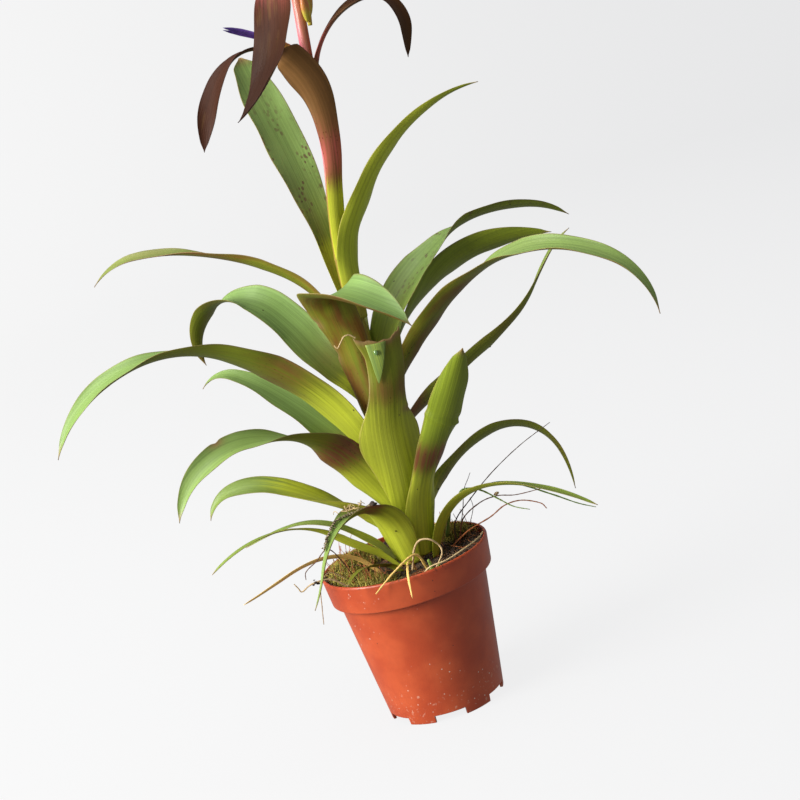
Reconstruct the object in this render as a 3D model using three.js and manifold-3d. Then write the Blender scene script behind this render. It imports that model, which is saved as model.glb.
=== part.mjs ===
// Potted tillandsia, millimetres, +Z up. The origin is on the pot's axis at the bottom of its skirt.
// The plant leans a little towards +X. Each leaf is one curved plate; its row below gives
// name, height of insertion, azimuth, distance from the stem line, length,
// then the angle from the vertical, the swing of the azimuth, the twist and the width at equal steps,
// then the share of the length that hugs the stem, the cupping angle and the two thicknesses.
import * as THREE from "three";
import { mergeVertices } from "three/addons/utils/BufferGeometryUtils.js";
import Module from "manifold-3d";

const wasm = await Module();
wasm.setup();

const LEAVES = [
["leaf_low_left_hair", 61, 205, 9, 89, [35,52,43,63,86,102,119], [0,-2], [0,30,0,-30], [6,9,6,3.5,2.5,2,1], 0.3, 60, [0.7,0.6]],
["leaf_low_front_short", 61, 231, 13, 36, [40,58,66,70,85,100,125], [0,0], [0,20,-20], [4,5,4,3,2.5,2,1], 0.2, 40, [0.7,0.6]],
["leaf_low_back_hair", 61, 160, 9, 74, [25,47,55,73,95,104,109], [0,0], [0,-20], [4,6,5,4,3,2,1], 0.2, 40, [0.7,0.6]],
["leaf_low_right_small", 61, -25, 8.8, 88, [20,36,62,92,108,116,124], [0,-2], [0,-20,20], [7,12,11,8,5,3.5,1], 0.25, 60, [0.8,0.6]],
["leaf_low_left", 67, 188, 4.4, 94, [25,38,50,56,66,98,162], [0,-5,-11,-14], [0,30,0,-30,-40,-40], [12,17,17,13,10,7,1], 0.35, 80, [0.9,0.6]],
["leaf_low_right", 67, 12, 5.3, 110, [14,40,58,82,124,164,184], [0,3,8,9], [0,-40,-30,0,10], [12,15,11,12,9,5,1], 0.25, 70, [0.9,0.6]],
["leaf_back_low", 72, 95, 4.4, 76, [16,40,56,74,100,128,160], [0,4,8], [0,10,0], [9,15,15,13,11,7,1], 0.3, 80, [0.9,0.6]],
["leaf_front_pup", 62, 244, 8.5, 88, [20,16,44,88,128,150,138], [0,-12,-22,-28], [0,0,20], [10,17,17.5,13,5,2.5,1], 0.4, 90, [0.9,0.6]],
["leaf_cut_right", 64, -54, 8, 104, [14,20,34,42,42,41,41], [0,0], [0,0,-35,-35], [10.5,17,14.5,14.5,15,13,3], 0.4, 90, [1.0,0.7]],
["leaf_cut_front", 76, -80, 5.4, 86, [27,25,14,8,18,8,4], [0,0,5,50,60,60], [0,0,0,-35,-55,-55], [10,14,21,28,17.5,16,17], 0.8, 65, [1.0,0.7]],
["leaf_left_lower", 78, 222, 4.3, 131, [20,30,36,66,83,114,160], [0,-5,-9,-9], [0,20,30,0,-30,-40,-40], [14,22,19,16,13,9,1], 0.3, 80, [1.0,0.6]],
["leaf_left_behind", 88, 157, 4.2, 101, [15,32,36,42,47,62,136], [0,2,3], [0,-35,-35,-30,-20], [10,14,15,13,11,7,1], 0.25, 70, [0.9,0.6]],
["leaf_left_long", 95, 194, 4.2, 172, [18,25,39,57,87,117,153], [0,0], [0,25,35,10,-20,-30], [14,22,21,18,16,11,1], 0.3, 80, [1.0,0.6]],
["leaf_back_mid", 101, 78, 4.2, 76, [14,40,60,80,104,130,158], [0,6,10], [0,10,0], [10,16,17,16,13,9,1], 0.3, 80, [0.9,0.6]],
["leaf_right_twisted", 106, 8, 4.2, 115, [12,56,63,63,67,60,40,44,67], [0,0], [0,-50,-50,-20,20], [10,12,10,9,8,7,6,4,1], 0.25, 70, [0.8,0.6]],
["leaf_front_folded", 112, 238, 4.2, 122, [13,6,3,32,92,120,140], [0,0,0,20,60,82,92], [0,0], [11,13.4,18,21,26,22,2], 0.5, 90, [0.9,0.6]],
["leaf_right_long", 118, -31, 4.2, 163, [11,46,52,69,100,128,182], [0,3,4,4], [0,-30,-15,15,10,5], [7,10,15,16,14,10,1], 0.25, 70, [1.0,0.6]],
["leaf_left_wide", 123, 146, 4.2, 117, [12,40,26,38,80,140,199], [0,8,14,18], [0,-40,-45,-30,30,40], [7,11,16,17,15,10,1], 0.25, 70, [0.9,0.6]],
["leaf_right_behind", 129, 44, 4.2, 108, [12,45,50,59,79,94,107], [0,-20,-40,-50], [0,-10,-40,-50,-50], [6,12,18,18,16,10,1], 0.25, 70, [0.9,0.6]],
["leaf_right_spotted", 135, 22, 4.2, 130, [10,33,53,64,90,105,131], [0,1,1], [0,25,20,-20,-20,-20], [11,16,18,15,11,8,1], 0.25, 70, [0.9,0.6]],
["leaf_back_high", 143, 94, 4.2, 78, [10,22,56,86,112,140,164], [0,4,8], [0,0], [6,9,14,14,12,8,1], 0.3, 70, [0.9,0.6]],
["leaf_left_thin", 150, 165, 4.0, 131, [12,26,50,66,74,90,130], [0,-1,-3,-5], [0,25,30,10,-20,-30], [10,13,13,12,10,7,1], 0.25, 60, [0.9,0.6]],
["leaf_upper_right", 163, -40, 4.0, 116, [5,3,35,42,57,71,93], [0,14,22,22], [0,-20,-20,-20], [13,13,13,12,10,6,1], 0.3, 60, [0.9,0.6]],
["leaf_upper_wide", 172, 115, 4.0, 108, [10,4,12,20,25,27,25], [0,0], [0,0], [8,9,12,17,18,17,9], 0.3, 50, [0.9,0.6]],
["bract_leafy", 188, 290, 4.3, 88, [8,20,24,22,14,4,-8,-26,-44], [0,10,20,60,110], [0,-15,-25,-70,-125], [7,6.5,6.6,7,8,10,12.5,14.5,12], 0.5, 80, [0.9,0.6]],
["bract_left", 255, 216, 3.5, 78, [20,33,77,113,139,149,160], [0,0], [0,0,-50], [6,7,6,7,9,8,1], 0.3, 60, [0.9,0.6]],
["bract_right", 262, -5, 3.5, 67, [20,42,60,86,150,188,192], [0,0], [0,40], [7,8,9,9,9,8,1], 0.3, 60, [0.9,0.6]],
["bract_hanging", 297, 250, 3.5, 87, [60,126,146,137,129,121,111], [0,-7,-20], [0,20], [9,12,17,18,16,10,1], 0.3, 60, [0.9,0.6]],
["dry_leaf", 61, 202, 17, 65, [30,47,71,90,102,102,98], [0,0], [0,20], [3,4,4,3.5,3,2,1], 0.2, 50, [0.7,0.6]],
["rim_strand", 61, 262, 14, 35, [38,61,92,130,165], [0,0], [0,0], [2,2.2,2.2,2,1], 0.2, 40, [0.7,0.6]],
["bract_top_back", 310, 85, 3.4, 56, [20,50,85,120,145,155,160], [0,6], [0,10], [7,9,11,11,9,6,1], 0.3, 60, [0.9,0.6]],
["bract_top_left", 320, 178, 3.2, 52, [20,50,85,120,148,158,162], [0,6], [0,10], [7,9,11,11,9,6,1], 0.3, 60, [0.9,0.6]],
["bract_top_right", 331, 328, 3.0, 46, [20,48,80,115,145,158,164], [0,8], [0,-10], [6,8,10,10,8,5,1], 0.3, 60, [0.9,0.6]],
];

// The stem's line: x at heights z, in millimetres.
const STEM = [[0,5],[60,5],[95,7],[120,8],[150,9.5],[175,9.5],[193,10.5],[211,13],[225,16],[242,18],[257,19],[273,21],[290,23],[330,27],[370,30]];
const stemX = (z) => {
  for (let i = 1; i < STEM.length; i++)
    if (z <= STEM[i][0] || i === STEM.length - 1) {
      const [a, b] = [STEM[i - 1], STEM[i]];
      return a[1] + ((b[1] - a[1]) * (Math.min(z, b[0]) - a[0])) / (b[0] - a[0]);
    }
};
const rad = (d) => (d * Math.PI) / 180;
const steps = (list, u) => {
  const x = Math.min(Math.max(u, 0), 1) * (list.length - 1);
  const i = Math.min(Math.floor(x), list.length - 2);
  return list[i] + (list[i + 1] - list[i]) * (x - i);
};
// A smooth curve through equally spaced values.
const smooth = (list, u) => {
  const n = list.length - 1;
  const x = Math.min(Math.max(u, 0), 1) * n;
  const i = Math.min(Math.floor(x), n - 1);
  const f = x - i;
  const b = list[i];
  const c = list[i + 1];
  const a = i > 0 ? list[i - 1] : 2 * b - c;
  const d = i < n - 1 ? list[i + 2] : 2 * c - b;
  return 0.5 * (2 * b + (c - a) * f + (2 * a - 5 * b + 4 * c - d) * f * f + (3 * b - a - 3 * c + d) * f * f * f);
};

// A closed mesh from two grids of points, the upper and the lower face, split alike.
function plate(upper, lower, nu, nv) {
  const n = nu * nv;
  const at = (i, j) => i * nv + j;
  const tris = [];
  for (let i = 0; i < nu - 1; i++)
    for (let j = 0; j < nv - 1; j++) {
      const [a, b, c, d] = [at(i, j), at(i + 1, j), at(i + 1, j + 1), at(i, j + 1)];
      tris.push(a, b, c, a, c, d, n + a, n + c, n + b, n + a, n + d, n + c);
    }
  const wall = (p, q) => tris.push(p, q, q + n, p, q + n, p + n);
  for (let i = 0; i < nu - 1; i++) {
    wall(at(i + 1, 0), at(i, 0));
    wall(at(i, nv - 1), at(i + 1, nv - 1));
  }
  for (let j = 0; j < nv - 1; j++) {
    wall(at(0, j), at(0, j + 1));
    wall(at(nu - 1, j + 1), at(nu - 1, j));
  }
  return closed([...upper, ...lower], tris);
}

// A geometry with its faces turned outward.
function closed(points, tris) {
  let volume = 0;
  for (let k = 0; k < tris.length; k += 3) {
    const [a, b, c] = [points[tris[k]], points[tris[k + 1]], points[tris[k + 2]]];
    volume += a.dot(b.clone().cross(c));
  }
  if (volume < 0) for (let k = 0; k < tris.length; k += 3) [tris[k], tris[k + 1]] = [tris[k + 1], tris[k]];
  const g = new THREE.BufferGeometry();
  g.setAttribute("position", new THREE.Float32BufferAttribute(points.flatMap((p) => [p.x, p.y, p.z]), 3));
  g.setIndex(tris);
  g.computeVertexNormals();
  return g;
}

function leaf(row) {
  const [, z0, az, r0, length, bend, swing, twist, width, hug, cup, thick] = row;
  const widest = Math.max(...width);
  const nv = widest > 11 ? 7 : 5;
  const nu = Math.min(Math.max(Math.round(length / 9) + 3, 9), 19);
  const M = 160;
  const dirs = [];
  for (let i = 0; i <= M; i++) {
    const s = i / M;
    const th = rad(steps(bend, s));
    const a = rad(az + steps(swing, s));
    dirs.push([th, a]);
  }
  const along = ([th, a]) => new THREE.Vector3(Math.sin(th) * Math.cos(a), Math.sin(th) * Math.sin(a), Math.cos(th));
  const mid = [new THREE.Vector3(stemX(z0) + r0 * Math.cos(rad(az)), r0 * Math.sin(rad(az)), z0)];
  for (let i = 0; i < M; i++)
    mid.push(mid[i].clone().addScaledVector(along(dirs[i]).add(along(dirs[i + 1])), length / M / 2));
  const upper = [];
  const lower = [];
  for (let i = 0; i < nu; i++) {
    const u = i / (nu - 1);
    const x = u * M;
    const k = Math.min(Math.floor(x), M - 1);
    const P = mid[k].clone().lerp(mid[k + 1], x - k);
    const th = rad(steps(bend, u));
    const a = rad(az + steps(swing, u));
    const tw = rad(steps(twist, u));
    const T = along([th, a]);
    const side = new THREE.Vector3(-Math.sin(a), Math.cos(a), 0);
    const face = T.clone().cross(side);
    const S = side.clone().multiplyScalar(Math.cos(tw)).addScaledVector(face, Math.sin(tw));
    const N = side.clone().multiplyScalar(-Math.sin(tw)).addScaledVector(face, Math.cos(tw));
    const w = Math.max(smooth(width, u), 0.8);
    const r = Math.max(Math.hypot(P.x - stemX(P.z), P.y), 2.5);
    const h = Math.min(u / hug, 1);
    const free = h * h * (3 - 2 * h);
    const c = Math.max((1 - free) / r + (free * rad(cup)) / w, 1e-6);
    for (let j = 0; j < nv; j++) {
      const v = -1 + (2 * j) / (nv - 1);
      const q = (v * w * c) / 2;
      const p = P.clone().addScaledVector(S, Math.sin(q) / c).addScaledVector(N, (1 - Math.cos(q)) / c);
      const n = S.clone().multiplyScalar(-Math.sin(q)).addScaledVector(N, Math.cos(q));
      const t = thick[1] + (thick[0] - thick[1]) * (1 - v * v) * (1 - 0.8 * u * u);
      upper.push(p.clone().addScaledVector(n, t / 2));
      lower.push(p.clone().addScaledVector(n, -t / 2));
    }
  }
  return plate(upper, lower, nu, nv);
}

// Rings of equal count joined into a closed body, capped at both ends by a middle point.
function rings(list, capStart, capEnd) {
  const m = list[0].length;
  const points = list.flat();
  const tris = [];
  for (let i = 0; i < list.length - 1; i++)
    for (let j = 0; j < m; j++) {
      const k = (j + 1) % m;
      tris.push(i * m + j, i * m + k, (i + 1) * m + k, i * m + j, (i + 1) * m + k, (i + 1) * m + j);
    }
  const s = points.push(capStart) - 1;
  const e = points.push(capEnd) - 1;
  const top = (list.length - 1) * m;
  for (let j = 0; j < m; j++) {
    const k = (j + 1) % m;
    tris.push(s, k, j, e, top + j, top + k);
  }
  return closed(points, tris);
}

// A tube along points with a radius at each, oval when flat is under 1.
function tube(path, radii, sides, flat = 1) {
  const list = path.map((p, i) => {
    const t = path[Math.min(i + 1, path.length - 1)].clone().sub(path[Math.max(i - 1, 0)]).normalize();
    const s = new THREE.Vector3(-t.y, t.x, 0);
    if (s.length() < 0.05) s.set(0, 1, 0);
    s.normalize();
    const n = t.clone().cross(s).normalize();
    const ring = [];
    for (let j = 0; j < sides; j++) {
      const a = (2 * Math.PI * j) / sides;
      ring.push(p.clone().addScaledVector(s, radii[i] * Math.cos(a)).addScaledVector(n, radii[i] * flat * Math.sin(a)));
    }
    return ring;
  });
  return rings(list, path[0].clone(), path[path.length - 1].clone());
}

// A closed profile [radius, height, centre x] turned about the vertical.
function turned(profile, sides) {
  const list = profile.map(([r, z, cx = 0]) =>
    Array.from({ length: sides }, (_, j) => {
      const a = (2 * Math.PI * j) / sides;
      return new THREE.Vector3(cx + r * Math.cos(a), r * Math.sin(a), z);
    }),
  );
  const first = profile[0];
  const last = profile[profile.length - 1];
  return rings(list, new THREE.Vector3(first[2] || 0, 0, first[1]), new THREE.Vector3(last[2] || 0, 0, last[1]));
}

function solid(g) {
  const bare = new THREE.BufferGeometry().setAttribute("position", g.getAttribute("position"));
  if (g.index) bare.setIndex(g.index);
  const m = mergeVertices(bare, 1e-4);
  return new wasm.Manifold(
    new wasm.Mesh({
      numProp: 3,
      vertProperties: new Float32Array(m.attributes.position.array),
      triVerts: new Uint32Array(m.index.array),
    }),
  );
}
function shown(manifold) {
  const m = manifold.getMesh();
  const g = new THREE.BufferGeometry();
  g.setAttribute("position", new THREE.Float32BufferAttribute(m.vertProperties, 3));
  g.setIndex(Array.from(m.triVerts));
  g.computeVertexNormals();
  return g;
}

const group = new THREE.Group();
group.name = "potted_tillandsia";
const paints = {
  pot: new THREE.MeshStandardMaterial({ color: 0xb5522c, roughness: 0.5 }),
  soil: new THREE.MeshStandardMaterial({ color: 0x2a211b, roughness: 1 }),
  moss: new THREE.MeshStandardMaterial({ color: 0x5d5f2a, roughness: 1 }),
  leaf: new THREE.MeshStandardMaterial({ color: 0x7fa345, roughness: 0.45 }),
  bract: new THREE.MeshStandardMaterial({ color: 0x6e3a31, roughness: 0.5 }),
  stem: new THREE.MeshStandardMaterial({ color: 0xb96a5e, roughness: 0.5 }),
  spike: new THREE.MeshStandardMaterial({ color: 0x9b8a3f, roughness: 0.5 }),
  flower: new THREE.MeshStandardMaterial({ color: 0x5f3f98, roughness: 0.5 }),
  dry: new THREE.MeshStandardMaterial({ color: 0xc79a45, roughness: 0.7 }),
  twig: new THREE.MeshStandardMaterial({ color: 0x4a4436, roughness: 0.9 }),
};
function add(name, geometry, paint) {
  const mesh = new THREE.Mesh(geometry, paints[paint]);
  mesh.name = name;
  group.add(mesh);
}

// The pot: a thin wall, a rim band, a raised base plate and a skirt with six notches.
const POT_WALL = [
  [22.9, 0], [24.1, 0], [24.3, 0.3], [31, 53.1], [33.5, 53.1], [33.8, 53.4], [35, 64.2], [34.8, 64.8], [34.4, 65],
  [34.1, 65], [33.8, 64.7], [32.5, 54.6], [29.8, 54.4], [23.3, 4.6],
];
let pot = solid(turned([[0.01, 3.4], [22.9, 3.4], ...POT_WALL, [0.01, 4.6]], 48));
for (let k = 0; k < 6; k++) {
  const cut = new THREE.Shape();
  cut.moveTo(-6.6, -3).lineTo(6.6, -3).lineTo(6.6, 2.5).lineTo(6.1, 3).lineTo(-6.1, 3).lineTo(-6.6, 2.5).closePath();
  const g = new THREE.ExtrudeGeometry(cut, { depth: 10, bevelEnabled: false });
  g.rotateX(Math.PI / 2).translate(0, 29, 0).rotateZ(rad(60 * k));
  pot = pot.subtract(solid(g));
}
add("pot", shown(pot), "pot");

// The soil fills the pot and has a plain hole for the stem.
const SOIL = [
  [0.01, 30, 5], [3.5, 30, 5], [3.5, 60.4, 5], [8, 60.3, 4], [13, 60.2, 3], [18, 60.1, 2], [23, 60, 1.2],
  [28, 59.7, 0.5], [32.7, 59.2, 0], [32.2, 54.9, 0], [29.45, 54.9, 0], [22.95, 4.9, 0], [0.01, 4.9, 0],
];
add("soil", turned(SOIL, 36), "soil");

// The stem and the flower stalk in one piece, from the hole in the soil to the top spike.
const stemPath = [31, 45, 60, 78, 95, 120, 150, 175, 193, 211, 225, 242, 257, 273, 290, 310, 330, 346].map(
  (z) => new THREE.Vector3(stemX(z), 0, z),
);
const stemR = stemPath.map((p) => steps([3.2, 3.2, 3.1, 2.9, 2.5, 2.1, 1.8], (p.z - 31) / 315));
add("stem", tube(stemPath, stemR, 12), "stem");

const paintOf = (name) => (name.startsWith("bract") ? "bract" : name.startsWith("dry") ? "dry" : "leaf");
for (const row of LEAVES) add(row[0], leaf(row), paintOf(row[0]));

// A short flower spike: a flattened spindle with overlapping scales, beside the stalk.
// Values: name, height, azimuth, distance from the stem line, length, angles from the vertical, half width.
const SPIKES = [
  ["spike_left", 267, 211, 3.9, 16, [36, 50, 64], 2.6],
  ["spike_middle", 277, 325, 4.0, 30, [8, 12, 22], 3.2],
  ["spike_upper_back", 317, 85, 3.9, 30, [16, 28, 40], 3.2],
  ["spike_upper_left", 327, 178, 3.6, 28, [16, 26, 38], 3.0],
  ["spike_upper_right", 337.5, 328, 3.6, 24, [12, 24, 36], 2.8],
];
function line(z0, az, r0, length, bend, count, rise = 0) {
  const a = rad(az);
  const path = [new THREE.Vector3(stemX(z0) + r0 * Math.cos(a), r0 * Math.sin(a), z0)];
  for (let i = 1; i < count; i++) {
    const th = rad(steps(bend, (i - 0.5) / (count - 1)) + rise);
    path.push(
      path[i - 1]
        .clone()
        .addScaledVector(new THREE.Vector3(Math.sin(th) * Math.cos(a), Math.sin(th) * Math.sin(a), Math.cos(th)), length / (count - 1)),
    );
  }
  return path;
}
const spindle = (u) => 0.32 + 0.68 * Math.sin(Math.PI * Math.min(0.12 + 0.92 * u, 1)) ** 0.7;
for (const [name, z0, az, r0, length, bend, half] of SPIKES) {
  const path = line(z0, az, r0, length, bend, 11);
  const radii = path.map((_, i) => half * spindle(i / 10) * (i % 2 ? 1 : 0.9));
  add(name, tube(path, radii, 8, 0.55), "spike");
}
const tipPath = [346.8, 349, 352, 355, 358, 361, 364, 367, 370, 373].map((z, i) => new THREE.Vector3(stemX(z), 0.15 * i, z));
add("spike_top", tube(tipPath, tipPath.map((_, i) => 3.2 * spindle(i / 9) * (i % 2 ? 1 : 0.9)), 8, 0.55), "spike");

// Violet tube flowers at the spikes' tips, each opening a little at its mouth.
const FLOWERS = [
  ["flower_left", "spike_left", 16, 8],
  ["flower_upper_left", "spike_upper_left", 14, 6],
  ["flower_upper_right", "spike_upper_right", 13, 10],
];
for (const [name, carrier, length, drop] of FLOWERS) {
  const [, z0, az, r0, long, bend] = SPIKES.find((row) => row[0] === carrier);
  const spike = line(z0, az, r0, long, bend, 11);
  const dir = spike[10].clone().sub(spike[9]).normalize();
  const start = spike[10].clone().addScaledVector(dir, 0.4);
  const path = [0, 0.2, 0.4, 0.6, 0.8, 0.92, 1].map((u) =>
    start.clone().addScaledVector(dir, length * u).add(new THREE.Vector3(0, 0, -drop * 0.25 * u * u)),
  );
  add(name, tube(path, [0.9, 1.3, 1.5, 1.5, 1.6, 1.9, 1.2], 8), "flower");
}

// A moss cushion on the left of the soil, thin at its border.
const mossRings = [];
const MOSS = [[0, 0.2], [0.25, 1], [0.5, 1.25], [0.75, 1], [1, 0.2]];
for (let i = 0; i <= 12; i++) {
  const t = i / 12;
  const a = rad(128 + 118 * t);
  const swell = 0.35 + 1.75 * Math.sin(Math.PI * t) ** 0.6;
  const ring = [];
  for (const [f, h] of MOSS) {
    const r = 17.5 + 13.3 * f + 0.5 * Math.sin(5 * a) * (f < 0.5 ? 1 : 0);
    ring.push(new THREE.Vector3(r * Math.cos(a), r * Math.sin(a), 60.5 + h * swell + 0.25 * Math.sin(9 * a + 4 * f)));
  }
  for (const [f] of [...MOSS].reverse()) {
    const r = 17.5 + 13.3 * f + 0.5 * Math.sin(5 * a) * (f < 0.5 ? 1 : 0);
    ring.push(new THREE.Vector3(r * Math.cos(a), r * Math.sin(a), 60.4));
  }
  mossRings.push(ring);
}
const middle = (ring) => ring.reduce((s, p) => s.add(p), new THREE.Vector3()).divideScalar(ring.length);
add("moss", rings(mossRings, middle(mossRings[0]), middle(mossRings[12])), "moss");

export default group;
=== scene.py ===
"""A flowering tillandsia in a small clay-coloured nursery pot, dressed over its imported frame.

Lengths are in millimetres up to the meshes, which are in metres. The leaves come from the same
rows as the solids, on a finer grid. Every random draw has a fixed seed.
"""

import math

import bpy
import numpy as np
from mathutils import Matrix, Vector


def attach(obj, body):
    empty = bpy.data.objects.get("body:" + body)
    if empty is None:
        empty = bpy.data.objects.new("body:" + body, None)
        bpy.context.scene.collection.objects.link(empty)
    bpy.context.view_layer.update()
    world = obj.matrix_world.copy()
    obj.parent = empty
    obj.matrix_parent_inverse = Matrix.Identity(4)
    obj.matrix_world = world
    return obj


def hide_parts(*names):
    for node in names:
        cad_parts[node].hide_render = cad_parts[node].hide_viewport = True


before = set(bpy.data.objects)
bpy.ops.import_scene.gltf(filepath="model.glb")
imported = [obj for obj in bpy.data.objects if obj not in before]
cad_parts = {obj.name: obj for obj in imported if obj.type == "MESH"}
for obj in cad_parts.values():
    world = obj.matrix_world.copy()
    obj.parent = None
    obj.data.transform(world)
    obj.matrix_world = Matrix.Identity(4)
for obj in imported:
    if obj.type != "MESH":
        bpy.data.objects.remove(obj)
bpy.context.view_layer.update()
TAU = 2 * math.pi


def added(name, data):
    """A new object of the scene."""
    obj = bpy.data.objects.new(name, data)
    bpy.context.scene.collection.objects.link(obj)
    return obj


def photo_camera():
    """The photograph's view: 0.7 m away, 10.8 degrees above the level, rolled so that the pot leans."""
    pitch, roll = math.radians(10.83), math.radians(16.66)
    back = Vector((0, -math.cos(pitch), math.sin(pitch)))
    level = Vector((1, 0, 0))
    up = back.cross(level)
    right = level * math.cos(roll) - up * math.sin(roll)
    above = level * math.sin(roll) + up * math.cos(roll)
    turn = Matrix((right, above, back)).transposed().to_4x4()
    lens = bpy.data.cameras.new("photo_camera")
    lens.sensor_width = 36
    lens.lens = 1684.2 / 800 * 36
    lens.clip_start, lens.clip_end = 0.01, 30
    camera = added("photo_camera", lens)
    camera.matrix_world = Matrix.Translation((0.01653, -0.66419, 0.25353)) @ turn
    bpy.context.scene.camera = camera


photo_camera()

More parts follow.
